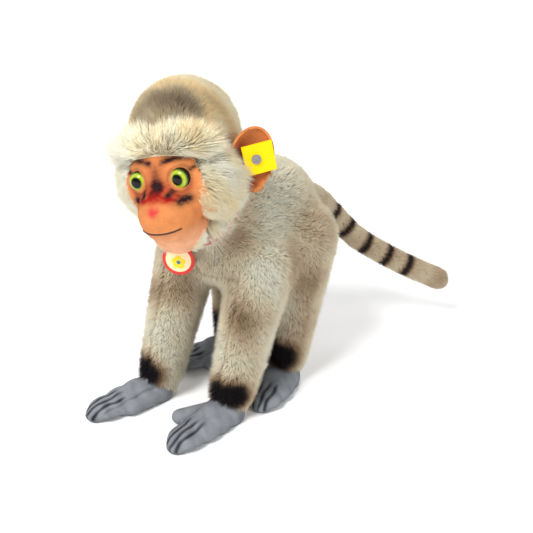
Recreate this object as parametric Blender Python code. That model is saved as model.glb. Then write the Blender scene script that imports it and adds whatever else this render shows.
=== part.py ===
"""A stuffed monkey that stands on all fours: a mohair plush skin sewn in panels over firm stuffing,
felt face, ears, hands and feet, and a head that turns on a pair of hardboard discs.

Metres, +Z up. The monkey faces -Y and its left side is +X. It is built about its own middle plane,
and at the end it is moved so that the origin is under its left hand, on the sole. The head is built
looking straight ahead and then turned on its pivot.
"""

import math

import bmesh
import bpy
from mathutils import Matrix, Quaternion, Vector

MM = 0.001
UP = Vector((0, 0, 1))
BACK = Vector((0, 1, 0))
LEFT = Vector((1, 0, 0))

# Trunk
BELLY_HEIGHT = 78 * MM  # floor to belly
TRUNK_DEPTH = 73 * MM  # belly to back
TRUNK_LENGTH = 102 * MM  # chest to rump
TRUNK_WIDTH = 70 * MM
RUMP_RISE = 4 * MM
CHEST_FRONT = -9 * MM  # where the chest ends, along Y

# Cloth and clearances
PLUSH = 4.5 * MM  # mohair plush: the woven back and the pile standing on it
FELT = 1.4 * MM
GAP = 0.3 * MM  # between pieces that touch
WAD_GAP = 1.7 * MM  # between a soft skin and its stuffing, whose facets don't match
TURNING_GAP = 0.6 * MM  # between pieces that turn on each other
FAR = 400 * MM  # a cutter's size where it must reach past everything

# Legs: each leans, its top further back than its ankle
FRONT_SPACING = 50 * MM
HIND_SPACING = 48 * MM
FRONT_ANKLE_Y = 0 * MM
HIND_ANKLE_Y = 54 * MM
STRIDE = 14 * MM  # how far the right hand is planted ahead of the left
FRONT_LEAN = 28 * MM
HIND_LEAN = 10 * MM
WRIST_RADIUS = 16 * MM
ANKLE_RADIUS = 14.5 * MM
SHOULDER_RADIUS = 22 * MM
HAUNCH_RADIUS = 26 * MM
LEG_WAD_RISE = 5 * MM  # how far above the belly a leg's stuffing ends

# Hands and feet
SOLE = 1.4 * MM
HAND_LENGTH = 57 * MM  # ankle to finger tips
FOOT_LENGTH = 46 * MM
PAW_RADIUS = 13 * MM
PAW_MIDDLE = 5.5 * MM  # height of its fullest line above the floor
HAND_SPLAY = {"left": 2.0, "right": 10.0}  # degrees, outwards
FOOT_SPLAY = {"left": 18.0, "right": 18.0}
THUMB_REACH = {"left": 23 * MM, "right": 15 * MM}  # a hand's middle line to its thumb's end
BIG_TOE_REACH = {"left": 16 * MM, "right": 16 * MM}
HEEL_SHARE = 0.82  # a leg's foot over its ankle, where the heel rounds in

# Neck joint, between two hardboard discs
NECK_RISE = 59 * MM  # belly to the joint's middle
NECK_Y = -1 * MM
NECK_TILT = 38.0  # degrees that its axis leans forwards
HEAD_TURN = 23.0  # degrees, to the monkey's left
NECK_RADIUS = 24 * MM
DISC_THICKNESS = 2 * MM
PIN_RADIUS = 1.1 * MM
PIN_REACH = 9 * MM  # from the joint to each end of the pin
WASHER_RADIUS = 6 * MM
WASHER_THICKNESS = 0.8 * MM

# Head
HEAD_RISE = 38 * MM  # joint to the head's middle, along the axis
HEAD_SET_BACK = 7 * MM  # and square to the axis, backwards
HEAD_HEIGHT = 97 * MM  # chin to crown
HEAD_DEPTH = 70 * MM
CROWN_SET_BACK = 19 * MM  # behind the head's middle
CHEEK_WIDTH = 87 * MM  # over the long pile
CROWN_WIDTH = 66 * MM
RUFF_PILE = 9 * MM  # how far the long pile stands off the stuffed head
CROWN_PILE = 5 * MM
MUZZLE_REACH = 31 * MM
MUZZLE_RADIUS = 15 * MM
MUZZLE_DROP = 25 * MM
FACE_WIDTH = 42 * MM
FACE_RISE = 9 * MM  # brow above the head's middle
MOUTH_DROP = 33 * MM
MOUTH_THREAD = 0.8 * MM
EYE_RADIUS = 6 * MM
EYE_SPACING = 27 * MM
EYE_REACH = 18 * MM
EYE_DROP = 5 * MM
SHANK_RADIUS = 0.7 * MM
SHANK_LENGTH = 6 * MM
EAR_HEIGHT = 38 * MM
EAR_REACH = 24 * MM  # root to rim
EAR_DEPTH = 7 * MM
EAR_SWEEP = 42.0  # degrees that each ear is swept back
EAR_TILT = 22.0  # degrees that its top leans outwards
EAR_ROOT = 32 * MM  # midline to the ear's root
RUFF_LEAN = 32.0  # degrees that the seam between ruff and crown leans forwards
EAR_FORWARD = -8 * MM
EAR_DROP = 7 * MM

# Ear button and its ribbon flag
RIVET_RADIUS = 2.8 * MM
RIVET_SHANK = 1 * MM
RIVET_CAP = 0.8 * MM
RIVET_SHIFT = 2 * MM  # out from the middle of the ear
FLAG_LAP = 7 * MM  # ribbon between the rivet and the ear's root
FLAG_LENGTH = 18 * MM
FLAG_HEIGHT = 17 * MM
RIBBON = 0.5 * MM
FOLD_GAP = 0.6 * MM

# Collar and paper tag
COLLAR_WIDTH = 6 * MM
COLLAR_THICKNESS = 1 * MM
COLLAR_DROP = 0.4 * MM  # below the joint
THREAD_DROP = 4.6 * MM  # from the collar's top edge to where the tag's thread is sewn on
COLLAR_SQUEEZE = 1.5 * MM  # how far it presses into the neck
COLLAR_TURN = -6.0  # degrees that its tag hangs to the monkey's left
TAG_RADIUS = 10 * MM
TAG_THICKNESS = 0.8 * MM
TAG_HOLE = 1.5 * MM
THREAD_RADIUS = 0.4 * MM
LOOP_RADIUS = 1.7 * MM
TAG_FACING = 30.0  # degrees that the tag faces to the monkey's left
TAG_EDGE = 1 * MM  # card above its hole

# Tail
TAIL_RADIUS = 7.2 * MM
TAIL_PLUSH = 3.2 * MM
TAIL_HEIGHT = 119 * MM
TAIL_STEPS = (
    (0, 13, -5), (1, 13, -11), (4, 12, -14), (9, 11, -15), (14, 14, -13), (15, 14, -11), (15, 15, -10)
)  # from point to point along its middle line, in mm
TAIL_SINK = 2 * MM  # how deep its root's middle lies in the rump
TAIL_ROOM = 1.6 * MM  # round the root and the bend, so that the tail can swing
WIRE_RADIUS = 0.7 * MM

SIDES = ((1, "left"), (-1, "right"))
NECK_LEAN = Quaternion(LEFT, math.radians(NECK_TILT))
NECK_CENTRE = Vector((0, NECK_Y, BELLY_HEIGHT + NECK_RISE))
NECK_AXIS = NECK_LEAN @ UP
HEAD_CENTRE = NECK_CENTRE + NECK_AXIS * HEAD_RISE + (NECK_LEAN @ BACK) * HEAD_SET_BACK
LEG_TOP = BELLY_HEIGHT + LEG_WAD_RISE
COLLAR_RADIUS = NECK_RADIUS - COLLAR_SQUEEZE  # to its inside


# ---------------------------------------------------------------- scene, materials and helpers


def clear_scene():
    for obj in list(bpy.data.objects):
        bpy.data.objects.remove(obj, do_unlink=True)


def material(name, colour, roughness, metallic=0.0):
    made = bpy.data.materials.new(name)
    made.use_nodes = True
    shader = made.node_tree.nodes["Principled BSDF"]
    shader.inputs["Base Color"].default_value = (*colour, 1)
    shader.inputs["Roughness"].default_value = roughness
    shader.inputs["Metallic"].default_value = metallic
    return made


def add_object(name, bm):
    mesh = bpy.data.meshes.new(name)
    bmesh.ops.recalc_face_normals(bm, faces=bm.faces)
    bm.to_mesh(mesh)
    bm.free()
    obj = bpy.data.objects.new(name, mesh)
    bpy.context.scene.collection.objects.link(obj)
    return obj


def helper(name, bm):
    """A cutter or a form that pieces are cut from: it isn't a piece itself."""
    obj = add_object(name, bm)
    obj.hide_render = True
    obj.display_type = "WIRE"
    return obj


def settle(obj):
    """Applies an object's modifiers, so that later pieces can be cut from the result."""
    graph = bpy.context.evaluated_depsgraph_get()
    mesh = bpy.data.meshes.new_from_object(obj.evaluated_get(graph))
    obj.modifiers.clear()
    obj.data = mesh
    return obj


def ball(bm, centre, radii, turn=None, segments=20):
    place = Matrix.Translation(centre) @ (turn or Matrix()) @ Matrix.Diagonal((*radii, 1))
    rings = segments * 3 // 5
    bmesh.ops.create_uvsphere(bm, u_segments=segments, v_segments=rings, radius=1, matrix=place)


def drum(bm, start, end, radius, end_radius=None, segments=24):
    along = end - start
    turn = UP.rotation_difference(along).to_matrix().to_4x4()
    bmesh.ops.create_cone(
        bm,
        cap_ends=True,
        segments=segments,
        radius1=radius,
        radius2=radius if end_radius is None else end_radius,
        depth=along.length,
        matrix=Matrix.Translation((start + end) / 2) @ turn,
    )


def limb(bm, stations):
    """Overlapping balls and the tapered lengths between them, from (centre, radius) pairs."""
    for centre, radius in stations:
        ball(bm, centre, (radius, radius, radius))
    for (start, radius), (end, end_radius) in zip(stations, stations[1:]):
        drum(bm, start, end, radius, end_radius, segments=24)


def block(name, low, high):
    bm = bmesh.new()
    low, high = Vector(low), Vector(high)
    size = Matrix.Diagonal((*(high - low), 1))
    bmesh.ops.create_cube(bm, size=1, matrix=Matrix.Translation((low + high) / 2) @ size)
    return helper(name, bm)


def half_space(name, point, normal):
    """A block whose one face passes through the point, on the side that the normal points to."""
    bm = bmesh.new()
    turn = UP.rotation_difference(normal).to_matrix().to_4x4()
    place = Matrix.Translation(point + normal * FAR / 2) @ turn
    bmesh.ops.create_cube(bm, size=FAR, matrix=place)
    return helper(name, bm)


def cylinder(name, start, end, radius):
    bm = bmesh.new()
    drum(bm, start, end, radius)
    return helper(name, bm)


def fused(name, bm, voxel, rounds, keep):
    """One smooth stuffed form from overlapping shapes, with this share of its faces kept."""
    obj = helper(name, bm)
    remesh = obj.modifiers.new("fuse", "REMESH")
    remesh.mode = "VOXEL"
    remesh.voxel_size = voxel
    relax = obj.modifiers.new("relax", "SMOOTH")
    relax.factor = 0.5
    relax.iterations = rounds
    thin = obj.modifiers.new("thin", "DECIMATE")
    thin.ratio = keep
    return settle(obj)


def swollen(name, form, distance):
    """A copy of a form with its surface moved out, or in where the distance is negative."""
    bm = bmesh.new()
    bm.from_mesh(form.data)
    bm.normal_update()
    for vert in bm.verts:
        vert.co += vert.normal * distance
    return helper(name, bm)


def carved(name, base, *steps, solver="EXACT"):
    """A copy of a form after Boolean steps, each an operation and the object that it uses."""
    obj = bpy.data.objects.new(name, base.data.copy())
    bpy.context.scene.collection.objects.link(obj)
    for operation, other in steps:
        step = obj.modifiers.new(operation.lower(), "BOOLEAN")
        step.operation = operation
        step.object = other
        step.solver = solver
    return settle(obj)


def piece(name, base, finish, *steps, solver="EXACT"):
    """A named piece of the monkey, carved from a form."""
    obj = carved(name, base, *steps, solver=solver)
    obj.data.materials.clear()
    obj.data.materials.append(finish)
    obj.data.shade_smooth()
    obj.data.set_sharp_from_angle(angle=math.radians(40))
    return obj


def hidden(obj):
    obj.hide_render = True
    obj.display_type = "WIRE"
    return obj


def hang_on(pivot, *objects):
    """Parents pieces to a pivot, leaving them where they are while the pivot is unturned."""
    for obj in objects:
        obj.parent = pivot
        obj.matrix_parent_inverse = pivot.matrix_basis.inverted()


def pivot_at(name, place):
    pivot = bpy.data.objects.new(name, None)
    pivot.location = place
    bpy.context.scene.collection.objects.link(pivot)
    return pivot


# ---------------------------------------------------------------- body skin and stuffing


def leg_line(side, spacing, ankle_y, lean, top_radius, ankle_radius):
    """A leg's (centre, radius) stations, from the floor up into the trunk."""
    top = Vector((side * spacing / 2, ankle_y + lean, BELLY_HEIGHT + top_radius))
    ankle = Vector((side * spacing / 2, ankle_y, ankle_radius))
    heel = ankle - UP * ankle_radius
    stations = [(heel, ankle_radius * HEEL_SHARE), (ankle, ankle_radius)]
    for t in (0.35, 0.7, 1.0):
        radius = ankle_radius + (top_radius - ankle_radius) * t
        stations.append((ankle.lerp(top, t), radius))
    return stations


def hand_y(side):
    return FRONT_ANKLE_Y - (STRIDE if side < 0 else 0)


def body_form():
    bm = bmesh.new()
    half_depth = TRUNK_DEPTH / 2
    half_width = TRUNK_WIDTH / 2
    middle_z = BELLY_HEIGHT + half_depth
    front = CHEST_FRONT + half_depth
    rear = CHEST_FRONT + TRUNK_LENGTH - half_depth
    ball(bm, (0, front, middle_z - 4 * MM), (half_width, half_depth, half_depth - 2 * MM))
    ball(bm, (0, (front + rear) / 2, middle_z), (half_width - 3 * MM, half_depth, half_depth))
    ball(bm, (0, rear, middle_z + RUMP_RISE), (half_width, half_depth, half_depth))
    chest = Vector((0, front, middle_z))
    limb(bm, [(chest, NECK_RADIUS), (NECK_CENTRE + NECK_AXIS * 4 * MM, NECK_RADIUS)])
    for side in (1, -1):
        limb(bm, leg_line(side, FRONT_SPACING, hand_y(side), FRONT_LEAN, SHOULDER_RADIUS, WRIST_RADIUS))
        limb(bm, leg_line(side, HIND_SPACING, HIND_ANKLE_Y, HIND_LEAN, HAUNCH_RADIUS, ANKLE_RADIUS))
    return fused("body_form", bm, voxel=5.5 * MM, rounds=4, keep=0.2)


def neck_disc_bore(name):
    """The room that a skin's neck opening leaves for the discs."""
    reach = NECK_AXIS * (TURNING_GAP / 2 + DISC_THICKNESS + GAP)
    return cylinder(name, NECK_CENTRE - reach, NECK_CENTRE + reach, NECK_RADIUS - PLUSH)


def make_body_skin(outer, trims, plush):
    """Two side panels, and a gusset for the belly and the insides of the legs."""
    lining = swollen("body_lining", outer, -PLUSH)
    disc_bore = neck_disc_bore("disc_bore_in_body")
    shell = (("DIFFERENCE", lining), *trims, ("DIFFERENCE", disc_bore))
    seam = FRONT_SPACING / 2
    gusset_top = BELLY_HEIGHT + TRUNK_DEPTH / 4
    inside = block("gusset_block", (-seam, -FAR, -FAR), (seam, FAR, gusset_top))
    around = block("around_gusset", (-seam - GAP, -FAR, -FAR), (seam + GAP, FAR, gusset_top + GAP))
    piece("belly_gusset", outer, plush, *shell, ("INTERSECT", inside), solver="MANIFOLD")
    for side, word in SIDES:
        low, high = sorted((side * GAP / 2, side * FAR))
        half = block("half_" + word, (low, -FAR, -FAR), (high, FAR, FAR))
        steps = (*shell, ("INTERSECT", half), ("DIFFERENCE", around))
        piece("body_side_" + word, outer, plush, *steps, solver="MANIFOLD")


def make_body_stuffing(outer, trims, wool):
    """A wad of wood wool in each leg, and one in the trunk that closes round the neck pin."""
    filling = swollen("body_filling", outer, -PLUSH - WAD_GAP)
    under_disc = NECK_CENTRE - NECK_AXIS * (TURNING_GAP / 2 + DISC_THICKNESS + GAP)
    disc_room = half_space("disc_room", under_disc, -NECK_AXIS)
    pin_end = NECK_CENTRE - NECK_AXIS * (PIN_REACH + GAP)
    pin_room = cylinder("pin_room_in_body", NECK_CENTRE, pin_end, WASHER_RADIUS + GAP)
    above_legs = block("above_legs", (-FAR, -FAR, LEG_TOP + GAP / 2), (FAR, FAR, FAR))
    trunk = (*trims, ("INTERSECT", above_legs), ("INTERSECT", disc_room), ("DIFFERENCE", pin_room))
    piece("trunk_stuffing", filling, wool, *trunk, solver="MANIFOLD")
    between = (hand_y(1) + WRIST_RADIUS + HIND_ANKLE_Y - ANKLE_RADIUS) / 2 + (FRONT_LEAN + HIND_LEAN) / 4
    for side, word in SIDES:
        low, high = sorted((side * GAP / 2, side * FAR))
        ends = (("front", -FAR, between - GAP / 2), ("hind", between + GAP / 2, FAR))
        for end, start_y, end_y in ends:
            room = block(f"{end}_{word}_leg_room", (low, start_y, -FAR), (high, end_y, LEG_TOP - GAP / 2))
            steps = (*trims, ("INTERSECT", room))
            piece(f"{end}_leg_stuffing_{word}", filling, wool, *steps, solver="MANIFOLD")


# ---------------------------------------------------------------- hands and feet


def paw_form(name, ankle, side, length, splay, thumb_reach):
    """A flattened mitten with a thumb on its inner side."""
    bm = bmesh.new()
    pointing = Matrix.Rotation(math.radians(side * splay), 4, "Z") @ -BACK
    inwards = Matrix.Rotation(math.radians(side * splay), 4, "Z") @ (-side * LEFT)
    turn = Matrix.Rotation(math.radians(side * splay), 4, "Z")
    base = Vector((ankle.x, ankle.y, PAW_MIDDLE))
    for reach, width, thick in ((0.1, 0.95, 2.1), (0.3, 0.98, 1.75), (0.5, 1.0, 1.3), (0.72, 0.86, 1.0)):
        radii = (PAW_RADIUS * width, length * 0.24, PAW_MIDDLE * thick)
        ball(bm, base + pointing * length * reach, radii, turn)
    tip = PAW_RADIUS * 0.55
    tip_middle = base + pointing * (length - tip) - UP * PAW_MIDDLE * 0.3
    ball(bm, tip_middle, (tip, tip, PAW_MIDDLE * 0.75), turn)
    thumb = base + pointing * length * 0.2 + inwards * PAW_RADIUS * 0.6
    thumb_tip = base + pointing * length * 0.52 + inwards * (thumb_reach - PAW_MIDDLE)
    limb(bm, [(thumb, PAW_MIDDLE), (thumb_tip, PAW_MIDDLE * 0.9)])
    return fused(name, bm, voxel=2.5 * MM, rounds=3, keep=0.16)


def make_paw(name, word, form, ankle, heel_radius, felt, wool, leg_skin):
    """Felt upper sewn round a flat felt sole, with a little stuffing between them."""
    lining = swollen(f"{name}_{word}_lining", form, -FELT)
    filling = swollen(f"{name}_{word}_filling", form, -FELT - WAD_GAP)
    above = block(f"{name}_{word}_above_sole", (-FAR, -FAR, SOLE + GAP), (FAR, FAR, FAR))
    beside_leg = swollen(f"{name}_{word}_beside_leg", leg_skin, 2 * GAP)
    trims = (("INTERSECT", above), ("DIFFERENCE", beside_leg))
    piece(f"{name}_upper_{word}", form, felt, ("DIFFERENCE", lining), *trims, solver="MANIFOLD")
    piece(f"{name}_stuffing_{word}", filling, wool, *trims, solver="MANIFOLD")
    heel = cylinder(f"{name}_{word}_heel", ankle - UP * FAR, ankle + UP * FAR, heel_radius)
    layer = block(f"{name}_{word}_sole_layer", (-FAR, -FAR, 0), (FAR, FAR, SOLE))
    piece(f"{name}_sole_{word}", form, felt, ("UNION", heel), ("INTERSECT", layer))


def make_paws(outer, felt, wool):
    for side, word in SIDES:
        wrist = Vector((side * FRONT_SPACING / 2, hand_y(side), 0))
        splay, reach = HAND_SPLAY[word], THUMB_REACH[word]
        form = paw_form(f"hand_{word}_form", wrist, side, HAND_LENGTH, splay, reach)
        make_paw("hand", word, form, wrist, WRIST_RADIUS * HEEL_SHARE, felt, wool, outer)
        ankle = Vector((side * HIND_SPACING / 2, HIND_ANKLE_Y, 0))
        splay, reach = FOOT_SPLAY[word], BIG_TOE_REACH[word]
        form = paw_form(f"foot_{word}_form", ankle, side, FOOT_LENGTH, splay, reach)
        make_paw("foot", word, form, ankle, ANKLE_RADIUS * HEEL_SHARE, felt, wool, outer)


# ---------------------------------------------------------------- neck joint


def make_neck(board, steel, head_pivot):
    """A hardboard disc in each neck opening, clamped by washers on a cotter pin, which the head turns."""
    half_gap = TURNING_GAP / 2
    disc_radius = NECK_RADIUS - PLUSH - GAP
    outer_face = half_gap + DISC_THICKNESS
    reach = NECK_AXIS * FAR
    bore = cylinder("pin_bore", NECK_CENTRE - reach, NECK_CENTRE + reach, PIN_RADIUS + GAP)
    for word, way in (("body", -1), ("head", 1)):
        along = NECK_AXIS * way
        disc_start, disc_end = NECK_CENTRE + along * half_gap, NECK_CENTRE + along * outer_face
        disc = cylinder(f"neck_disc_{word}_blank", disc_start, disc_end, disc_radius)
        washer_start = outer_face + GAP
        washer = cylinder(
            f"neck_washer_{word}_blank",
            NECK_CENTRE + along * washer_start,
            NECK_CENTRE + along * (washer_start + WASHER_THICKNESS),
            WASHER_RADIUS,
        )
        made = [
            piece(f"neck_disc_{word}", disc, board, ("DIFFERENCE", bore)),
            piece(f"neck_washer_{word}", washer, steel, ("DIFFERENCE", bore)),
        ]
        if word == "head":
            hang_on(head_pivot, *made)
    pin = bmesh.new()
    under = NECK_CENTRE - NECK_AXIS * (PIN_REACH - PIN_RADIUS)
    over = NECK_CENTRE + NECK_AXIS * (PIN_REACH - PIN_RADIUS)
    drum(pin, under, over, PIN_RADIUS, segments=12)
    cotter = helper("cotter_shank", pin)
    legs = bmesh.new()
    spread = WASHER_RADIUS * 0.7
    drum(legs, under - LEFT * spread, under + LEFT * spread, PIN_RADIUS, segments=12)
    eye = bmesh.new()
    ball(eye, over, (2 * PIN_RADIUS,) * 3, segments=12)
    ends = (("UNION", helper("cotter_legs", legs)), ("UNION", helper("cotter_eye", eye)))
    hang_on(head_pivot, piece("neck_cotter_pin", cotter, steel, *ends))


# ---------------------------------------------------------------- head


def head_point(across, forward, up):
    """A point in the head's own frame: its left, forwards and up from its middle."""
    return HEAD_CENTRE + Vector((across, -forward, up))


def crown_ball(bm, pile):
    middle = head_point(0, -CROWN_SET_BACK, HEAD_HEIGHT * 0.11)
    ball(bm, middle, (CROWN_WIDTH / 2 - pile, HEAD_DEPTH / 2 - pile, HEAD_HEIGHT * 0.36 - pile))


def stuffed_head_form():
    """The stuffed head under its skins, with a round neck and a muzzle."""
    bm = bmesh.new()
    crown_ball(bm, CROWN_PILE)
    jaw_radii = (CHEEK_WIDTH / 2 - RUFF_PILE, HEAD_DEPTH / 2 - RUFF_PILE, HEAD_HEIGHT * 0.33 - RUFF_PILE)
    ball(bm, head_point(0, -6 * MM, -HEAD_HEIGHT * 0.12), jaw_radii)
    muzzle_middle = MUZZLE_REACH - MUZZLE_RADIUS
    ball(bm, head_point(0, muzzle_middle, -MUZZLE_DROP), (MUZZLE_RADIUS,) * 3)
    chin_radius = MUZZLE_RADIUS * 0.9
    ball(bm, head_point(0, muzzle_middle - 6 * MM, chin_radius - HEAD_HEIGHT / 2), (chin_radius,) * 3)
    ball(bm, head_point(0, 4 * MM, -EYE_DROP), (FACE_WIDTH / 2, 15 * MM, 17 * MM))
    neck_top = NECK_CENTRE.lerp(HEAD_CENTRE, 0.6)
    limb(bm, [(NECK_CENTRE, NECK_RADIUS - PLUSH), (neck_top, NECK_RADIUS - PLUSH)])
    return fused("stuffed_head_form", bm, voxel=4 * MM, rounds=3, keep=0.18)


def pile_head_form():
    """The head's outline over its pile: short on the crown, long and full round the cheeks."""
    bm = bmesh.new()
    crown_ball(bm, 0)
    cheeks = (CHEEK_WIDTH / 2, HEAD_DEPTH / 2 - 5 * MM, HEAD_HEIGHT * 0.36)
    ball(bm, head_point(0, -6 * MM, -HEAD_HEIGHT * 0.12), cheeks)
    brow = (CHEEK_WIDTH / 2 - 3 * MM, HEAD_DEPTH / 2 - 9 * MM, 20 * MM)
    ball(bm, head_point(0, 0, HEAD_HEIGHT * 0.12), brow)
    neck_top = NECK_CENTRE.lerp(HEAD_CENTRE, 0.6)
    limb(bm, [(NECK_CENTRE, NECK_RADIUS), (neck_top, NECK_RADIUS)])
    return fused("pile_head_form", bm, voxel=5 * MM, rounds=3, keep=0.24)


def face_cutter(name, margin):
    """An upright egg-shaped drum in front of the head, which marks out the face."""
    bm = bmesh.new()
    face_bottom = -HEAD_HEIGHT / 2 - 3 * MM
    middle = (FACE_RISE + face_bottom) / 2
    half_height = (FACE_RISE - face_bottom) / 2 + margin
    place = Matrix.Translation(head_point(0, MUZZLE_REACH - 2 * MUZZLE_RADIUS + FAR / 2, middle))
    size = Matrix.Diagonal((FACE_WIDTH / 2 + margin, 1, half_height, 1))
    stand = Matrix.Rotation(math.radians(90), 4, "X")
    bmesh.ops.create_cone(
        bm, cap_ends=True, segments=32, radius1=1, radius2=1, depth=FAR, matrix=place @ size @ stand
    )
    return helper(name, bm)


def make_head(pivot, plush, felt, glass, wool, steel, thread):
    core = stuffed_head_form()
    pile = pile_head_form()
    above_neck = half_space("above_neck", NECK_CENTRE + NECK_AXIS * TURNING_GAP / 2, NECK_AXIS)
    under_skin = swollen("under_skin", core, WAD_GAP)
    face = face_cutter("face_cutter", 0)
    face_opening = face_cutter("face_opening", GAP)
    divide_at = head_point(0, EAR_FORWARD, 0)
    divide_way = Quaternion(LEFT, math.radians(RUFF_LEAN)) @ -BACK
    in_front = half_space("in_front_of_divide", divide_at + divide_way * GAP / 2, divide_way)
    behind = half_space("behind_divide", divide_at - divide_way * GAP / 2, -divide_way)
    disc_bore = neck_disc_bore("disc_bore_in_head")
    hair = (
        ("DIFFERENCE", under_skin),
        ("INTERSECT", above_neck),
        ("DIFFERENCE", face_opening),
        ("DIFFERENCE", disc_bore),
        ("DIFFERENCE", flag_room()),
    )
    skin = swollen("face_skin_outer", core, WAD_GAP + FELT)
    eyes = []
    for side, word in SIDES:
        bm = bmesh.new()
        at = head_point(side * EYE_SPACING / 2, EYE_REACH, -EYE_DROP)
        ball(bm, at, (EYE_RADIUS, EYE_RADIUS * 0.75, EYE_RADIUS), segments=16)
        eye = helper(f"eye_{word}_blank", bm)
        eyes.append((word, at, eye))
    eye_rooms = []
    for word, at, eye in eyes:
        behind_eye, before_eye = at + BACK * EYE_RADIUS * 1.2, at - BACK * FAR / 8
        room = cylinder(f"eye_{word}_room", behind_eye, before_eye, EYE_RADIUS + GAP)
        eye_rooms.append(("DIFFERENCE", room))
    made = [
        piece("head_ruff", pile, plush, *hair, ("INTERSECT", in_front), *eye_rooms, solver="MANIFOLD"),
        piece("head_crown", pile, plush, *hair, ("INTERSECT", behind), solver="MANIFOLD"),
    ]
    layer = (("DIFFERENCE", under_skin), ("INTERSECT", face), *eye_rooms)
    mouth_z = HEAD_CENTRE.z - MOUTH_DROP
    half_thread = MOUTH_THREAD / 2
    above_mouth = block("above_mouth", (-FAR, -FAR, mouth_z + half_thread + GAP), (FAR, FAR, FAR))
    below_mouth = block("below_mouth", (-FAR, -FAR, -FAR), (FAR, FAR, mouth_z - half_thread - GAP))
    made.append(piece("face_felt", skin, felt, *layer, ("INTERSECT", above_mouth)))
    chin = (*layer, ("INTERSECT", below_mouth), ("INTERSECT", above_neck))
    made.append(piece("chin_felt", skin, felt, *chin))
    half_mouth = MUZZLE_RADIUS * 0.9
    seam_low, seam_high = (-half_mouth, -FAR, mouth_z - half_thread), (half_mouth, FAR, mouth_z + half_thread)
    seam = block("mouth_seam", seam_low, seam_high)
    front_only = half_space("muzzle_front", head_point(0, MUZZLE_REACH - MUZZLE_RADIUS, 0), -BACK)
    stitch = (("DIFFERENCE", under_skin), ("INTERSECT", seam), ("INTERSECT", front_only))
    made.append(piece("mouth_stitch", skin, thread, *stitch))

    over_disc = NECK_CENTRE + NECK_AXIS * (TURNING_GAP / 2 + DISC_THICKNESS + GAP)
    disc_room = half_space("disc_room_in_head", over_disc, NECK_AXIS)
    pin_end = NECK_CENTRE + NECK_AXIS * (PIN_REACH + 2 * PIN_RADIUS)
    pin_room = cylinder("pin_room_in_head", NECK_CENTRE, pin_end, WASHER_RADIUS + GAP)
    loops = []
    for word, at, eye in eyes:
        made.append(piece(f"eye_{word}", eye, glass))
        loop = bmesh.new()
        back = at + BACK * (EYE_RADIUS * 0.75 + GAP)
        drum(loop, back, back + BACK * SHANK_LENGTH, SHANK_RADIUS, segments=12)
        made.append(piece(f"eye_shank_{word}", helper(f"eye_shank_{word}_blank", loop), steel))
        far_end = back + BACK * (SHANK_LENGTH + GAP)
        loop_room = cylinder(f"eye_{word}_shank_room", back, far_end, SHANK_RADIUS + GAP)
        loops.append(("DIFFERENCE", loop_room))
    rooms = (("INTERSECT", disc_room), ("DIFFERENCE", pin_room), *eye_rooms, *loops)
    made.append(piece("head_stuffing", core, wool, *rooms))
    hang_on(pivot, *made)
    return pile


def ear_frame(side):
    """An ear's middle, the way that it reaches out from the head, and the way that its back faces."""
    sweep = Quaternion(UP, math.radians(side * EAR_SWEEP))
    out = sweep @ (LEFT * side)
    middle = head_point(side * EAR_ROOT, EAR_FORWARD, -EAR_DROP) + out * EAR_REACH / 2
    return middle, out, sweep @ BACK


def flag_room():
    """The pile parted round the left ear's button and flag."""
    middle, out, rearwards = ear_frame(1)
    at = middle + out * RIVET_SHIFT
    thick = TURNING_GAP + 2 * RIBBON + FOLD_GAP + RIVET_CAP + 4 * GAP
    inner, half_height = FLAG_LAP + 2 * MM, FLAG_HEIGHT / 2 + 3 * MM
    bm = bmesh.new()
    place = Matrix((out, rearwards, UP)).transposed().to_4x4()
    place.translation = at
    room = bmesh.ops.create_cube(bm, size=1)["verts"]
    bmesh.ops.scale(bm, verts=room, vec=(inner + FLAG_LENGTH, thick, half_height * 2))
    bmesh.ops.translate(bm, verts=room, vec=((FLAG_LENGTH - inner) / 2, -thick / 2, 0))
    bmesh.ops.transform(bm, verts=bm.verts, matrix=place)
    flag_side = helper("flag_side_room", bm)
    behind_ear = at + rearwards * (EAR_DEPTH + RIVET_CAP + 4 * GAP)
    button = cylinder("button_room", at - rearwards * thick, behind_ear, RIVET_RADIUS + 2 * GAP)
    return hidden(carved("flag_room", flag_side, ("UNION", button)))


def make_ears(pivot, pile, felt, steel, ribbon):
    """Cupped felt ears, swept back. The left one holds a button and a ribbon flag."""
    clear = swollen("clear_of_ruff", pile, 3 * GAP)
    for side, word in SIDES:
        middle, out, rearwards = ear_frame(side)
        tilt = Quaternion(rearwards, math.radians(side * EAR_TILT))
        turn = (tilt @ Quaternion(UP, math.radians(side * EAR_SWEEP))).to_matrix().to_4x4()
        half_length = EAR_REACH / 2 + FELT
        bm = bmesh.new()
        ball(bm, middle, (half_length, EAR_DEPTH, EAR_HEIGHT / 2), turn, segments=16)
        cup = helper(f"ear_{word}_blank", bm)
        bm = bmesh.new()
        inside = (half_length - FELT, EAR_DEPTH - FELT, EAR_HEIGHT / 2 - FELT)
        ball(bm, middle, inside, turn, segments=16)
        hollow = helper(f"ear_{word}_hollow", bm)
        rear = half_space(f"ear_{word}_rear", middle, rearwards)
        steps = [("INTERSECT", rear), ("DIFFERENCE", hollow), ("DIFFERENCE", clear)]
        if word == "left":
            at = middle + out * RIVET_SHIFT
            reach = rearwards * FAR / 8
            bore = cylinder("rivet_bore", at - reach, at + reach, RIVET_SHANK + GAP)
            steps.append(("DIFFERENCE", bore))
            make_rivet_and_flag(pivot, at, out, rearwards, bore, steel, ribbon)
        hang_on(pivot, piece(f"ear_{word}", cup, felt, *steps))


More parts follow.
